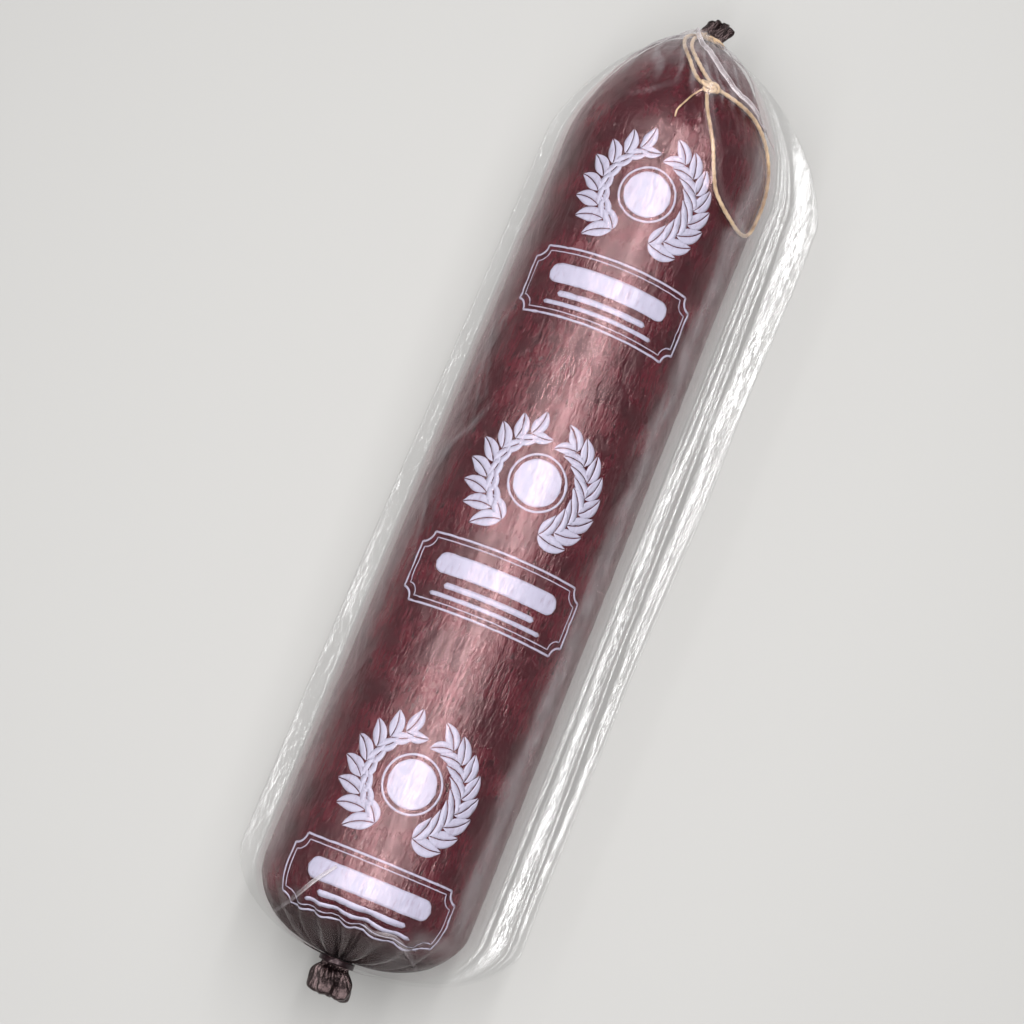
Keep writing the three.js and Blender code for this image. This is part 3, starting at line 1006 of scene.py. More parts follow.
    def build(self, name: str, casing: bpy.types.Object) -> bpy.types.Object:
        """Draws the mark and presses it onto the casing.

        Args:
            name: the piece's name.
            casing: the finished casing that the ink lies on.

        Returns:
            The ink as one thin closed layer for each stroke.
        """
        self.draw()
        points: list[Vector] = []
        faces: list[tuple[int, ...]] = []
        for rows in self.rows:
            base, width = len(points), len(rows[0])
            points += [self.on_casing(u, v) for row in rows for u, v in row]
            for row in range(len(rows) - 1):
                for cell in range(width - 1):
                    near = base + row * width + cell
                    faces.append((near, near + width, near + width + 1, near + 1))
        ink = object_from_faces(name, points, faces)
        merge_points(ink, 0.01)
        face_outward(ink, self.shape.axis_height * MM)
        apply_modifier(
            ink, "SHRINKWRAP", target=casing, wrap_method="NEAREST_SURFACEPOINT",
            wrap_mode="ABOVE_SURFACE", offset=self.ink_lift * MM,
        )
        apply_modifier(ink, "SOLIDIFY", thickness=self.ink_thickness * MM, offset=-1.0)
        smooth(ink)
        return ink


def face_outward(piece: bpy.types.Object, height: float) -> None:
    """Turns each face of an open sheet so that it points away from the axis at a height in metres."""
    mesh = piece.data
    for face in mesh.polygons:
        away = face.center - Vector((face.center.x, 0, height))
        if face.normal.dot(away) < 0:
            face.flip()
    mesh.update()


# --------------------------------------------------------------------------------------------------
# Twine
# --------------------------------------------------------------------------------------------------
@dataclass(frozen=True)
class Twine:
    """The two-ply twine and where it lies: how far back from the tied neck, and degrees round.

    The film is tented over it: a tent's height is above the casing, and its spread is how far from the
    twine's line the film comes down again. Sizes in millimetres.
    """

    shape: SausageShape
    diameter: float = 2.0
    plies: int = 2
    ply_depth: float = 0.2
    twist_pitch: float = 7.0
    sides: int = 14
    ring_gap: float = 0.4
    contact: float = 0.12
    knot_back: float = 35.0
    knot_turn: float = 102.0
    left_lead: tuple[tuple[float, float], ...] = (
        (33.7, 97), (32.2, 93), (28.5, 88.3), (23.9, 83.7), (19, 77.5), (14.8, 71.5), (10.5, 66), (6.5, 61.5),
        (3, 58), (0.5, 56),
    )
    right_lead: tuple[tuple[float, float], ...] = (
        (31.5, 101.5), (28.5, 97), (24.5, 91.5), (20, 85.5), (15.5, 79.5), (11, 75.5), (7, 73), (3.5, 74),
        (0.5, 77),
    )
    loop: tuple[tuple[float, float], ...] = (
        (38.4, 101.5), (44.6, 103.8), (51.7, 108.2), (59.4, 113.3), (68.9, 119), (76, 124.5), (79.9, 131.7),
        (82.5, 140.8), (83.7, 150.2), (82.5, 160), (78, 169), (71, 174), (62, 175), (53, 172), (45, 163),
        (39.4, 152), (36, 141.5), (34.6, 132), (34, 122), (33.6, 113), (33.5, 107.2),
    )
    tail: tuple[tuple[float, float], ...] = ((36.5, 98), (41, 94), (46, 91), (51, 88.6), (54.5, 88.9))
    tail_diameter: float = 0.9
    tail_lift: float = 0.75
    neck_turns: float = 2.05
    neck_steps: int = 130
    knot_steps: int = 140
    tent_slack: float = 0.45
    tent_spread: float = 4.5
    knot_tent: tuple[float, float] = (5.0, 9.0)

    def on_casing(self, places: Iterable[tuple[float, float]], lift: float) -> list[Vector]:
        """Returns the points for places given as distance back from the neck and degrees round."""
        return [
            self.shape.place(self.shape.half_length - back, math.radians(turn), lift, 0.0)
            for back, turn in places
        ]

    def smooth_path(self, points: Sequence[Vector]) -> list[Vector]:
        """Threads one even curve through the points, with a point every ring gap."""
        ends = [points[0] * 2 - points[1], *points, points[-1] * 2 - points[-2]]
        fine: list[Vector] = []
        for p0, p1, p2, p3 in zip(ends, ends[1:], ends[2:], ends[3:]):
            gaps = [max((b - a).length, 1e-3) ** 0.5 for a, b in ((p0, p1), (p1, p2), (p2, p3))]
            t0, t1 = 0.0, gaps[0]
            t2, t3 = t1 + gaps[1], t1 + gaps[1] + gaps[2]
            steps = max(int((p2 - p1).length / 0.2), 2)
            for step in range(steps):
                t = lerp(t1, t2, step / steps)
                a1 = p0 * ((t1 - t) / (t1 - t0)) + p1 * ((t - t0) / (t1 - t0))
                a2 = p1 * ((t2 - t) / (t2 - t1)) + p2 * ((t - t1) / (t2 - t1))
                a3 = p2 * ((t3 - t) / (t3 - t2)) + p3 * ((t - t2) / (t3 - t2))
                b1 = a1 * ((t2 - t) / (t2 - t0)) + a2 * ((t - t0) / (t2 - t0))
                b2 = a2 * ((t3 - t) / (t3 - t1)) + a3 * ((t - t1) / (t3 - t1))
                fine.append(b1 * ((t2 - t) / (t2 - t1)) + b2 * ((t - t1) / (t2 - t1)))
        fine.append(Vector(points[-1]))
        return self.evenly(fine)

    def evenly(self, fine: Sequence[Vector]) -> list[Vector]:
        """Spaces a dense line's points evenly, a ring gap apart."""
        runs = [0.0]
        for first, last in zip(fine, fine[1:]):
            runs.append(runs[-1] + (last - first).length)
        count = max(int(runs[-1] / self.ring_gap), 4)
        places, near = [], 0
        for step in range(count + 1):
            want = runs[-1] * step / count
            while near + 2 < len(runs) and runs[near + 1] < want:
                near += 1
            span = max(runs[near + 1] - runs[near], 1e-9)
            places.append(fine[near].lerp(fine[near + 1], min((want - runs[near]) / span, 1.0)))
        return places

    def yarn(
        self, name: str, path: Sequence[Vector], closed: bool = False, diameter: float = 0.0,
    ) -> bpy.types.Object:
        """Sweeps the twisted plies along a path.

        Args:
            name: the piece's name.
            path: the centreline in millimetres, its points a ring gap apart.
            closed: whether the path's last point joins its first.
            diameter: the yarn's own diameter, where it isn't the twine's.

        Returns:
            A closed tube with the plies' twist in its shape.
        """
        rings = []
        side = (path[1] - path[0]).orthogonal().normalized()
        run = 0.0
        radius = 0.9 * (diameter or self.diameter) / 2
        for place, here in enumerate(path):
            ahead = path[(place + 1) % len(path)] if closed else path[min(place + 1, len(path) - 1)]
            behind = path[place - 1] if closed or place else path[0]
            along = (ahead - behind).normalized()
            side = (side - along * side.dot(along)).normalized()
            other = along.cross(side)
            run += (here - path[place - 1]).length if place else 0.0
            twist = 2 * math.pi * run / self.twist_pitch
            fuzz = 0.05 * noise.noise(here * 0.9)
            ring = []
            for step in range(self.sides):
                turn = 2 * math.pi * step / self.sides
                ply = 1 - self.ply_depth * (0.5 - 0.5 * math.cos(self.plies * (turn - twist)))
                reach = radius * (ply + fuzz + 0.08 * noise.noise(here * 2 + Vector((turn, 0, 0))))
                ring.append(here + side * (reach * math.cos(turn)) + other * (reach * math.sin(turn)))
            rings.append(ring)
        if closed:
            rings.append(rings[0])
            piece = object_from_grid(name, rings, closed=True)
        else:
            first = [path[0].copy() for _ in range(self.sides)]
            last = [path[-1].copy() for _ in range(self.sides)]
            piece = object_from_grid(name, [first, *rings, last], closed=True)
        merge_points(piece, 0.002, turn_outward=True)
        smooth(piece)
        return piece

    def knot_frame(self) -> tuple[Vector, Vector, Vector, Vector]:
        """Returns the knot's foot on the casing, the way out of it, and the two ways along it."""
        x = self.shape.half_length - self.knot_back
        turn = math.radians(self.knot_turn)
        foot = self.shape.place(x, turn, 0, 0)
        section = self.shape.section(x)
        out = Vector((section.axial, section.radial * math.cos(turn), section.radial * math.sin(turn)))
        round_it = Vector((0, -math.sin(turn), math.cos(turn)))
        return foot, out, round_it.cross(out).normalized(), round_it

    def knot_path(self) -> list[Vector]:
        """Returns the closed line of the knot: a trefoil drawn up tight and pressed flat."""
        foot, out, along, across = self.knot_frame()
        centre = foot + out * (0.5 * self.diameter + 1.15)
        points = []
        for step in range(self.knot_steps):
            turn = 2 * math.pi * step / self.knot_steps
            wide = 1.5 + 0.95 * math.cos(3 * turn)
            u = 1.1 * wide * math.cos(2 * turn)
            v = 1.75 * wide * math.sin(2 * turn)
            w = 0.8 * math.sin(3 * turn)
            points.append(centre + along * u + across * v + out * w)
        return points

    def wrap_path(self) -> list[Vector]:
        """Returns the line of the twine's turns round the neck."""
        end = self.shape.tied
        reach = end.neck_radius + self.diameter / 2 + 0.05
        centre = Vector((0, end.neck_y, self.shape.axis_height - end.neck_drop))
        points = []
        start = math.radians(self.left_lead[-1][1])
        for step in range(self.neck_steps + 1):
            share = step / self.neck_steps
            turn = start + 2 * math.pi * self.neck_turns * share
            x = self.shape.half_length + FIT_GAP + self.diameter / 2 + self.diameter * 0.98 * share
            points.append(centre + Vector((x, reach * math.cos(turn), reach * math.sin(turn))))
        return points

    def build(self, material: bpy.types.Material) -> list[tuple[Vector, float, float]]:
        """Builds and dresses every stretch of the twine.

        Args:
            material: the twine's material.

        Returns:
            Points of the twine's line, each with the height and spread of the tent it makes of the film.
        """
        lift = self.diameter / 2 + self.contact
        tent = (self.diameter + self.tent_slack, self.tent_spread)
        foot, out, _, _ = self.knot_frame()
        loop_path = self.smooth_path(self.on_casing(self.loop, lift))
        loop = self.yarn("twine_hanging_loop", loop_path)
        dress(loop, material, "twine", "twine_loop")
        pieces, samples = [], [(point, *tent) for point in loop_path[::3]]
        for name, places, node in (
            ("twine_neck_lead_left", self.left_lead, "twine_lead_left"),
            ("twine_neck_lead_right", self.right_lead, "twine_lead_right"),
        ):
            path = self.smooth_path(self.on_casing(places, lift))
            lead = self.yarn(name, path)
            dress(lead, material, "twine", node)
            pieces.append(lead)
            samples += [(point, *tent) for point in path[::3]]
        knot_path = self.knot_path()
        knot = self.yarn("twine_tight_knot", self.evenly(knot_path + knot_path[:1])[:-1], closed=True)
        dress(knot, material, "twine", "twine_knot")
        tail_path = self.smooth_path(self.on_casing(self.tail, self.tail_lift))
        tail = self.yarn("twine_knot_tail", tail_path, diameter=self.tail_diameter)
        dress(tail, material, "twine")
        wrap = self.yarn("twine_turns_round_neck", self.evenly(self.wrap_path()))
        dress(wrap, material, "twine", "twine_neck_wrap")
        samples.append((foot + out, *self.knot_tent))
        return samples


# --------------------------------------------------------------------------------------------------
# Clip
# --------------------------------------------------------------------------------------------------
@dataclass(frozen=True)
class NeckClip:
    """The flat wire clip that closes the blunt neck, its ends lapped. Sizes in millimetres."""

    shape: SausageShape
    clearance: float = 0.1
    corner: float = 0.35
    steps: int = 72
    lap_turn: float = 1.2
    lap_step: float = 0.5
    edge_bevel: float = 0.12

    def build(self) -> bpy.types.Object:
        """Turns the wire's section round the neck, then laps its ends and rounds its edges."""
        low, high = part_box("neck_clip")
        inner, outer = self.shape.blunt.neck_radius + self.clearance, (high[2] - low[2]) / 2 / MM
        start, finish, corner = low[0] / MM, high[0] / MM, self.corner
        profile = [
            (start, inner), (start, outer - corner), (start + corner, outer), (finish - corner, outer),
            (finish, outer - corner), (finish, inner), (start, inner),
        ]
        height = self.shape.axis_height - self.shape.blunt.neck_drop
        clip = spin_profile("neck_clip_wire", profile, height, self.steps)
        for vertex in clip.data.vertices:
            vertex.co.y += self.shape.blunt.neck_y * MM
            turn = math.atan2(vertex.co.z - height * MM, vertex.co.y - self.shape.blunt.neck_y * MM)
            lap = smoothstep(abs(turn - self.lap_turn), 0.5, 0.0)
            vertex.co.x += self.lap_step * MM * lap * math.sin(4 * turn)
        apply_modifier(clip, "BEVEL", width=self.edge_bevel * MM, segments=2, limit_method="ANGLE")
        smooth(clip)
        return clip


# --------------------------------------------------------------------------------------------------
# Pouch
# --------------------------------------------------------------------------------------------------
class FilmSide(Enum):
    """Which of the pouch's two films, by the way it lies from the seams."""

    FRONT = 1
    BACK = -1


@dataclass(frozen=True)
class Crease:
    """One sharp fold in the film, through places given by x and degrees round. Height and width in mm."""

    route: tuple[tuple[float, float], ...]
    height: float
    width: float


@dataclass(frozen=True)
class CreaseLines:
    """The folds' straight pieces: start, run, length, height at either end, and width."""

    x: np.ndarray
    v: np.ndarray
    dx: np.ndarray
    dv: np.ndarray
    size: np.ndarray
    first: np.ndarray
    last: np.ndarray
    width: np.ndarray


@dataclass
class PouchFilm:
    """One film of the pouch: clinging over the sausage, flat along both sealed edges.

    Each sealed edge's width is given at the blunt and at the tied end. A fold of a sealed edge is its place
    as a share of the width, its slope and its height. A doubled strip's section gives places across it, from
    -1 to 1, each with its loft. Sizes in millimetres and degrees.
    """

    shape: SausageShape
    twine: Twine
    side: FilmSide
    cling: float = 0.35
    thickness: float = 0.12
    seam_gap: float = 0.16
    left_wing: tuple[float, float] = (11.2, 9.0)
    right_wing: tuple[float, float] = (22.0, 26.5)
    neck_wing: float = 1.5
    x_step: float = 1.55
    arc_points: int = 74
    bend_points: int = 6
    wing_points: tuple[int, int] = (20, 8)
    leave_turns: tuple[float, float] = (21.0, 26.0)
    roots: tuple[float, float] = (3.4, 5.2)
    bend_loft: float = 0.3
    tent_reach: float = 14.0
    seam_folds: tuple[tuple[float, float, float], ...] = (
        (0.06, 0.0002, 1.5), (0.36, -0.0007, 1.9), (0.72, 0.0006, 1.1),
    )
    doubled: tuple[Crease, ...] = (
        Crease(
            ((210.5, 62), (204, 80), (198.2, 95.2), (189.3, 108.2), (181.2, 123.7), (179, 141), (177, 152)),
            0.5, 2.4,
        ),
        Crease(((-180, 75), (-186, 69), (-194.7, 59.0), (-201.8, 41.3), (-204, 26)), 0.5, 1.8),
        Crease(((-196, 98), (-197.5, 104), (-196.2, 116.5), (-199.3, 131.1), (-203.5, 150)), 0.5, 1.8),
    )
    strip_lift: float = 0.3
    strip_section: tuple[tuple[float, float], ...] = (
        (-1.0, 9.0), (-0.8, 5.0), (-0.4, 2.5), (0.0, 2.0), (0.4, 2.5), (0.8, 5.0), (1.0, 9.0),
    )
    twine_samples: list[tuple[Vector, float, float]] = field(default_factory=list)

    def stations(self) -> list[float]:
        """Returns the x places of the film's rows, closer together over the rounded ends."""
        half = self.shape.half_length
        places = []
        for end in (self.shape.blunt, self.shape.tied):
            steps = int(1.35 * end.length / self.x_step)
            dome = []
            for step in range(steps):
                fall = 1 - math.cos(math.pi / 2 * step / steps) ** (2 / end.fullness)
                dome.append(end.side * (half - end.length * fall))
            places.append(dome)
        start, finish = self.shape.blunt.length - half, half - self.shape.tied.length
        steps = int((finish - start) / self.x_step)
        body = [lerp(start, finish, step / steps) for step in range(steps + 1)]
        return places[0] + body + places[1][::-1]

    def lip(self, x: float) -> float:
        """Returns the least radius of the film where it is gathered round a closure."""
        if x < 0:
            return self.shape.blunt.neck_radius + 1.9
        return self.shape.tied.neck_radius + self.twine.diameter + 0.6

    def wing_share(self, x: float) -> float:
        """Returns how much of its full width a sealed edge has at x."""
        return (1 - self.shape.section(x).along) ** 0.6

    def seam_wave(self, x: float, out: float, hand: int) -> float:
        """Returns how far a sealed edge is bent up or down, which both films share.

        Args:
            x: the place along the sausage.
            out: the distance out from the edge's root.
            hand: 1 for the +Y edge and -1 for the -Y edge.

        Returns:
            The bend, up if it is positive.
        """
        width = max(self.wing_width(x, hand), 0.1)
        share = min(out / width, 1.0)
        if hand > 0:
            return share * (0.6 * noise.noise(Vector((x / 45, 3.1, 0))) - 2.0) + 0.8 * share**8
        roll = 2.6 * share * noise.noise(Vector((x / 60, 7.7, 0.4 * share)))
        folds = 0.0
        for line, slope, height in self.seam_folds:
            middle = line + slope * x + 0.05 * noise.noise(Vector((x / 110, line * 9, 0)))
            strength = 0.75 + 0.7 * noise.noise(Vector((x / 70, line * 5, 2.0)))
            folds += height * max(strength, 0.0) * math.exp(-abs(share - middle) / 0.05)
        ripple = 0.25 * share * noise.noise(Vector((x / 20, out / 8, 5.0)))
        return roll + folds * min(width / 15, 1.0) + ripple - 1.2 * share**2

    def wing_width(self, x: float, hand: int) -> float:
        """Returns a sealed edge's width at x."""
        first, last = self.left_wing if hand > 0 else self.right_wing
        full = lerp(first, last, smoothstep(x, -130, 130))
        if hand < 0:
            full += 1.2 * noise.noise(Vector((x / 50, 1.3, 0)))
        return self.neck_wing + (full - self.neck_wing) * self.wing_share(x)

    def creases(self) -> list[Crease]:
        """Returns the film's folds: long slanting ones off the sealed edges and short ones on top."""
        draw = random.Random(11 if self.side is FilmSide.FRONT else 29)
        folds = []
        for hand in (0, 180):
            for _ in range(24):
                x, length = draw.uniform(-175, 150), draw.uniform(26, 70) * draw.choice((-1, 1))
                near, far = draw.uniform(16, 26), draw.uniform(30, 52)
                bow = draw.uniform(-4, 4)
                turns = [near, (near + far) / 2 + bow, far]
                route = tuple(
                    (x + length * share, turn if hand == 0 else 180 - turn)
                    for share, turn in zip((0, 0.45, 1), turns)
                )
                folds.append(Crease(route, draw.uniform(0.35, 1.0), draw.uniform(0.9, 2.2)))
        for _ in range(18):
            x, turn, length = draw.uniform(-165, 150), draw.uniform(60, 120), draw.uniform(18, 60)
            route = ((x, turn), (x + length, turn + draw.uniform(-9, 9)))
            folds.append(Crease(route, draw.uniform(0.12, 0.3), draw.uniform(0.7, 1.3)))
        if self.side is FilmSide.FRONT:
            folds += self.closing_creases()
        return folds

    def closing_creases(self) -> list[Crease]:
        """Returns the folds that the two gathered ends pull across the front film."""
        return [
            Crease(
                ((211, 62), (204, 80), (198.2, 95.2), (189.3, 108.2), (181.2, 123.7), (179, 141)), 2.0, 1.0,
            ),
            Crease(((209, 88), (203, 101), (196, 113), (188, 125), (184, 140)), 0.9, 0.8),
            Crease(((210, 50), (197.8, 71.6), (191.3, 84.9), (185.7, 93.1)), 1.1, 0.9),
            Crease(((163, 56), (168, 70), (178, 84)), 0.8, 1.6),
            Crease(((164, 39), (141.7, 26.3), (118.5, 19)), 0.8, 2.6),
            Crease(((160, 55), (146, 42), (128, 35)), 0.5, 1.8),
            Crease(((-157, 80), (-165.1, 81.8), (-172, 80.8), (-181.2, 77.9)), 0.6, 0.7),
            Crease(((-186, 70), (-194.7, 59.0), (-201.8, 41.3), (-204, 30)), 1.1, 0.7),
            Crease(((-197.5, 104), (-196.2, 116.5), (-199.3, 131.1), (-203.5, 150)), 1.0, 0.8),
            Crease(((-196.5, 108), (-200, 105), (-208, 112)), 0.9, 0.8),
            Crease(((18, 55), (5.3, 47.6), (-2.5, 37.6), (-15.0, 32.9), (-40, 30)), 1.0, 1.8),
            Crease(((60, 44), (40, 36), (20, 33), (0, 28)), 0.7, 1.6),
        ]

    def crease_lift(self, x: float, turn: float, lines: CreaseLines) -> float:
        """Returns how far the folds lift the film at a place."""
        px, pv = x - lines.x, turn * self.shape.radius - lines.v
        share = np.clip((px * lines.dx + pv * lines.dv) / lines.size**2, 0, 1)
        gap = np.hypot(px - share * lines.dx, pv - share * lines.dv)
        height = lines.first + (lines.last - lines.first) * share
        return float(np.max(height * np.exp(-((gap / lines.width) ** 1.3)), initial=0.0))

    def crease_lines(self) -> CreaseLines:
        """Lays the folds out as straight pieces on the unrolled casing, fading at their ends."""
        unroll = math.radians(1) * self.shape.radius
        lines = []
        for fold in self.creases():
            places = len(fold.route)
            fade = [
                math.sin(math.pi * (0.08 + 0.84 * place / (places - 1))) ** 0.6 for place in range(places)
            ]
            for place in range(places - 1):
                (x0, turn0), (x1, turn1) = fold.route[place:place + 2]
                lines.append((
                    x0, turn0 * unroll, x1 - x0, (turn1 - turn0) * unroll,
                    fold.height * fade[place], fold.height * fade[place + 1], fold.width,
                ))
        x, v, dx, dv, first, last, width = np.array(lines).T
        return CreaseLines(x, v, dx, dv, np.hypot(dx, dv), first, last, width)

    def twine_tree(self) -> kdtree.KDTree:
        """Makes a lookup of the twine's line, so that the film can be tented over it."""
        tree = kdtree.KDTree(len(self.twine_samples))
        for index, (point, _, _) in enumerate(self.twine_samples):
            tree.insert(point, index)
        tree.balance()
        return tree

    def tent(self, point: Vector, tree: kdtree.KDTree) -> float:
        """Returns how far twine underneath holds the film off the casing at a point."""
        lift = 0.0
        for _, index, gap in tree.find_range(point, self.tent_reach):
            _, height, spread = self.twine_samples[index]
            share = max(1 - max(gap - 1.2, 0) / spread, 0)
            lift = max(lift, height * share**1.5)
        return lift

    def pocket(self, x: float, turn: float) -> float:
        """Returns how far the film stands off where it bridges the blunt shoulder on the -Y side."""
        share = smoothstep(x, -186, -199) * smoothstep(turn, math.radians(112), math.radians(140))
        return 2.2 * share * smoothstep(turn, math.radians(215), math.radians(185))

    def lift_at(self, x: float, turn: float, lines: CreaseLines, tree: kdtree.KDTree) -> tuple[float, float]:
        """Returns how far the film stands off the plain casing at a place, and its loft there, which along the
        front film's outlines carries a painted sheen.
        """
        section = self.shape.section(x)
        end = self.shape.end_at(x)
        y, z = math.cos(turn), math.sin(turn)
        drift = 0.4 * noise.noise(Vector((1.7 * y, 1.7 * z, x / 40 + 3)))
        rays = abs(math.cos((end.pleats + 4) / 2 * (turn + drift)))
        radial = (1.2 if x > 0 else 0.45) * rays**5 * smoothstep(section.along, 0.15, 0.7)
        waves = 0.12 * (1 + noise.noise(Vector((x / 16, 4 * y, 4 * z))))
        waves += 0.05 * noise.noise(Vector((x / 5, 11 * y, 11 * z)))
        lift = self.cling + max(self.shape.unevenness(x, turn), -0.1) + waves
        tented = lift
        if x > self.shape.half_length - 100:
            held = self.tent(self.shape.place(x, turn, 1.0, 0.0), tree)
            tented = max(lift, self.cling + held + 0.4 * waves)
        folds = self.crease_lift(x, turn if self.side is FilmSide.FRONT else 2 * math.pi - turn, lines)
        raised = max(radial, folds) + self.pocket(x, turn)
        haze_and_outline_sheen = smoothstep(raised + waves + 0.2 * (tented - lift), 0.32, 1.25)
        if x > 0:
            haze_and_outline_sheen = max(haze_and_outline_sheen, 0.9 * smoothstep(section.along, 0.45, 0.95))
        # Painted sheen: a milky band along the front film's two outlines, turns 141 to 150 and 27 to 40,
        # stands in for the room's reflection where the film turns away.
        if self.side is FilmSide.FRONT:
            edge = math.degrees(turn) + 5 * noise.noise(Vector((x / 28, 2.0, 8.0)))
            body = 1 - section.along
            haze_and_outline_sheen = max(
                haze_and_outline_sheen, body * smoothstep(edge, 141, 150), 0.4 * body * smoothstep(edge, 40, 27),
            )
        return tented + raised, haze_and_outline_sheen

    def row(self, x: float, lines: CreaseLines, tree: kdtree.KDTree) -> list[tuple[Vector, float]]:
        """Returns one row of the film, from the -Y sealed edge over the sausage to the +Y one.

        Args:
            x: the row's place.
            lines: the folds.
            tree: the lookup of the twine's line.

        Returns:
            Each point with its loft, which is 0 where the film is wetted onto the casing, 1 where it hangs
            free and -1 in a sealed edge; along the front film's outlines it also carries a painted sheen.
        """
        way = self.side.value
        section = self.shape.section(x)
        seam_z = section.centre_z
        floor = 0.2
        left_leave, right_leave = (math.radians(turn) for turn in self.leave_turns)

        def surface(turn: float) -> tuple[Vector, float]:
            """Returns the film's point over the sausage at a turn, with its loft."""
            lift, haze_and_outline_sheen = self.lift_at(x, turn, lines, tree)
            point = self.shape.place(x, turn, lift, floor)
            reach = section.radius + lift * section.radial
            if reach < self.lip(x):
                point.y = section.centre_y + self.lip(x) * math.cos(turn)
                point.z = section.centre_z + self.lip(x) * math.sin(turn)
            return point, haze_and_outline_sheen

        def wing(hand: int, edge: Vector) -> list[tuple[Vector, float]]:
            """Returns the points of a sealed edge and of the bend that leads to it."""
            width = self.wing_width(x, hand)
            root = min(self.roots[0] if hand > 0 else self.roots[1], 0.6 * width)
            leave = left_leave if hand > 0 else right_leave
            root_y = section.centre_y + hand * (section.radius + self.cling + root)
            count = self.wing_points[1] if hand > 0 else self.wing_points[0]
            flat = []
            for step in range(count + 1):
                out = (width - root) * step / count
                z = seam_z + way * self.seam_gap / 2 + self.seam_wave(x, out, hand)
                flat.append((Vector((edge.x, root_y + hand * out, z)), -1.0))
            drop = abs(edge.z - seam_z)
            pull = edge + Vector((0, hand * math.sin(leave), -way * math.cos(leave))) * (0.5 * drop)
            arrive = flat[0][0] - Vector((0, hand * 0.5 * root, 0))
            bend = []
            for step in range(1, self.bend_points):
                share = step / self.bend_points
                place = (
                    edge * (1 - share) ** 3 + pull * (3 * share * (1 - share) ** 2)
                    + arrive * (3 * share**2 * (1 - share)) + flat[0][0] * share**3
                )
                bend.append((place, self.bend_loft))
            return bend + flat

        right_end = math.pi - right_leave if way > 0 else math.pi + right_leave
        left_end = left_leave if way > 0 else 2 * math.pi - left_leave
        arc = [
            surface(lerp(right_end, left_end, step / self.arc_points)) for step in range(self.arc_points + 1)
        ]
        return wing(-1, arc[0][0])[::-1] + arc + wing(1, arc[-1][0])

    def thin_sheet(
        self, name: str, rows: Sequence[Sequence[Vector]], loft: Sequence[float], flip: bool = False,
    ) -> bpy.types.Object:
        """Makes rows of points a thin closed sheet.

        Args:
            name: the piece's name.
            rows: the points.
            loft: how free the film hangs at each point, row by row, which its material reads.
            flip: whether the rows run the other way round, so that the faces have to be turned.

        Returns:
            The sheet, the film's thickness added outside it.
        """
        sheet = object_from_grid(name, rows)
        sheet.data.attributes.new("loft", "FLOAT", "POINT").data.foreach_set("value", loft)
        if flip:
            sheet.data.flip_normals()
        apply_modifier(sheet, "SOLIDIFY", thickness=self.thickness * MM, offset=1.0)
        smooth(sheet)
        return sheet

    def build(self, name: str) -> bpy.types.Object:
        """Builds the film, with its doubled folds joined to it."""
        lines, tree = self.crease_lines(), self.twine_tree()
        rows = [self.row(x, lines, tree) for x in self.stations()]
        points = [[point for point, _ in row] for row in rows]
        loft = [share for row in rows for _, share in row]
        front = self.side is FilmSide.FRONT
        film = self.thin_sheet(name, points, loft, flip=front)
        if front:
            strips = [
                self.doubled_strip(f"{name}_{index}", fold, lines, tree)
                for index, fold in enumerate(self.doubled)
            ]
            select_only(film)
            for strip in strips:
                strip.select_set(True)
            bpy.ops.object.join()
        return film

    def doubled_strip(
        self, name: str, fold: Crease, lines: CreaseLines, tree: kdtree.KDTree,
    ) -> bpy.types.Object:
        """Builds a narrow strip of the film folded over itself, lying along a fold's route.

        Args:
            name: the strip's name.
            fold: its route, how far it stands up in the middle, and its width.
            lines: the film's folds.
            tree: the lookup of the twine's line.

        Returns:
            The strip, ready to be joined to the film.
        """
        middle = self.twine.smooth_path([
            self.shape.place(x, math.radians(turn), 1.0, 0.0) for x, turn in fold.route
        ])
        rows, loft = [], []
        for index in range(1, len(middle) - 1):
            here = middle[index]
            along = (middle[index + 1] - middle[index - 1]).normalized()
            section = self.shape.section(here.x)
            spoke = Vector((0, here.y - section.centre_y, here.z - section.centre_z))
            turn = math.atan2(spoke.z, spoke.y)
            lift, _ = self.lift_at(here.x, turn, lines, tree)
            outward = (spoke - along * spoke.dot(along)).normalized()
            across = along.cross(outward)
            foot = self.shape.place(here.x, turn, lift, 0.0) + outward * self.strip_lift
            half = fold.width / 2 * (0.35 + 0.65 * math.sin(math.pi * index / (len(middle) - 1)) ** 0.5)
            rows.append([
                foot + across * (half * side) + outward * (fold.height * (1 - side * side))
                for side, _ in self.strip_section
            ])
            loft += [free for _, free in self.strip_section]
        return self.thin_sheet(name, rows, loft)


# --------------------------------------------------------------------------------------------------
# Studio
# --------------------------------------------------------------------------------------------------
@dataclass(frozen=True)
class Softbox:
    """A rectangular softbox: its place and its length and width in metres, and its power in watts."""

    name: str
    place: tuple[float, float, float]
    size: tuple[float, float]
    power: float


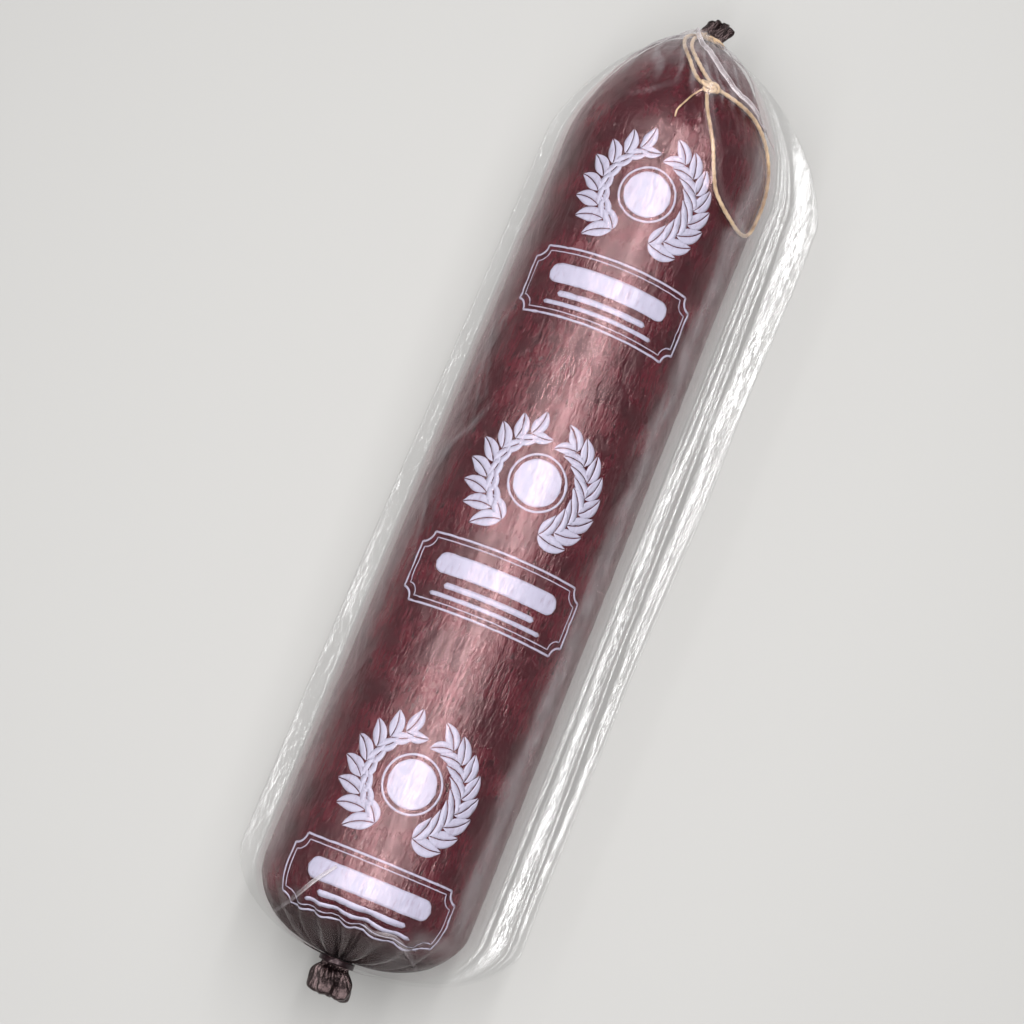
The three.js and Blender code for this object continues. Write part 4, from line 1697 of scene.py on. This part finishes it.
@dataclass(frozen=True)
class Studio:
    """The pale floor, the soft lights and the camera, looking down on the sausage from a slight tilt."""

    tilt: float = math.radians(12.0)
    distance: float = 0.95
    lens: float = 79.0
    target: tuple[float, float, float] = (-0.0152, 0.0047, 0.045)
    image_right: tuple[float, float, float] = (0.3721, -0.9282, 0.0)
    floor_size: float = 6.0
    room: str = "#f2f1f4"
    room_light: float = 0.09
    aim_height: float = 0.04
    softboxes: tuple[Softbox, ...] = (
        Softbox("top_softbox", (0.0, -0.13, 1.14), (1.9, 0.1), 15.0),
        Softbox("right_softbox", (0.0, -0.4, 1.07), (1.9, 0.3), 5.0),
        Softbox("left_softbox", (0.0, 0.34, 1.1), (1.9, 0.1), 8.5),
        Softbox("broad_softbox", (0.1, 0.6, 1.1), (1.9, 1.1), 3.0),
    )

    def add_camera(self) -> None:
        """Adds the camera and makes it the scene's own."""
        right = Vector(self.image_right).normalized()
        away = Vector((0, 0, 1)).cross(right)
        back = Vector((0, 0, 1)) * math.cos(self.tilt) - away * math.sin(self.tilt)
        up = back.cross(right)
        camera = bpy.data.cameras.new("camera")
        camera.lens = self.lens
        camera.sensor_width = 36.0
        place = Vector(self.target) + back * self.distance
        bpy.context.scene.camera = self.add_object("camera", camera, place, (right, up, back))

    def add_softbox(self, softbox: Softbox) -> None:
        """Adds a softbox that faces the sausage, its long side along it."""
        light = bpy.data.lights.new(softbox.name, "AREA")
        light.shape = "RECTANGLE"
        light.size, light.size_y = softbox.size
        light.energy = softbox.power
        place = Vector(softbox.place)
        away = (place - Vector((0, 0, self.aim_height))).normalized()
        across = away.cross(Vector((1, 0, 0))).normalized()
        self.add_object(softbox.name, light, place, (across.cross(away), across, away))

    def add_object(
        self, name: str, data: bpy.types.ID, place: Vector, axes: Sequence[Vector],
    ) -> bpy.types.Object:
        """Adds a light or camera at a place, with its own axes along the ones given."""
        holder = bpy.data.objects.new(name, data)
        bpy.context.scene.collection.objects.link(holder)
        turn = Matrix((axes[0], axes[1], axes[2])).transposed().to_4x4()
        holder.matrix_world = Matrix.Translation(place) @ turn
        return holder

    def add_floor(self) -> None:
        """Adds the paper that the sausage lies on."""
        bpy.ops.object.select_all(action="DESELECT")
        bpy.ops.mesh.primitive_plane_add(size=self.floor_size)
        floor = bpy.context.active_object
        floor.name = "studio_floor"
        floor.data.materials.append(StudioFloorFinish().make())

    def build(self) -> None:
        """Sets up the whole studio."""
        scene = bpy.context.scene
        scene.view_settings.view_transform = "Standard"
        world = bpy.data.worlds.new("studio")
        world.use_nodes = True
        background = world.node_tree.nodes["Background"]
        background.inputs["Color"].default_value = srgb(self.room)
        background.inputs["Strength"].default_value = self.room_light
        scene.world = world
        self.add_floor()
        for softbox in self.softboxes:
            self.add_softbox(softbox)
        self.add_camera()


# --------------------------------------------------------------------------------------------------
# Putting it together
# --------------------------------------------------------------------------------------------------
# Each emblem's name, its distance along the casing from the middle and its middle's turn in degrees.
EMBLEMS = (("blunt", -158.5, 94.0), ("middle", -27.5, 95.0), ("tied", 103.5, 91.0))


def main() -> None:
    """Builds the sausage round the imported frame, piece by piece."""
    logging.basicConfig(level=logging.INFO, format="%(relativeCreated)6d ms %(name)s: %(message)s")
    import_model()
    shape = SausageShape.from_frame()
    LOG.info(
        "radius %.2f, half length %.2f, axis height %.2f", shape.radius, shape.half_length, shape.axis_height,
    )
    Studio().build()

    twine = Twine(shape)
    samples = twine.build(JuteTwine().make())

    casing = FilledCasing(shape).build()
    dress(casing, FibrousCasing().make(shape), "casing", "filled_casing")
    ink = PrintingInk().make()
    for label, run, turn in EMBLEMS:
        emblem = PrintedEmblem(shape, run, centre_turn=turn).build(f"printed_emblem_{label}", casing)
        dress(emblem, ink, "print")
    dress(NeckClip(shape).build(), LacqueredSteel().make(), "clip", "neck_clip")

    film_finish = PouchFilmFinish().make(shape)
    for side, name, node in (
        (FilmSide.FRONT, "pouch_front_sheet", "pouch_front_film"),
        (FilmSide.BACK, "pouch_back_sheet", "pouch_back_film"),
    ):
        film = PouchFilm(shape, twine, side, twine_samples=samples)
        sheet = film.build(name)
        dress(sheet, film_finish, "film", node)


if __name__ == "__main__":
    main()
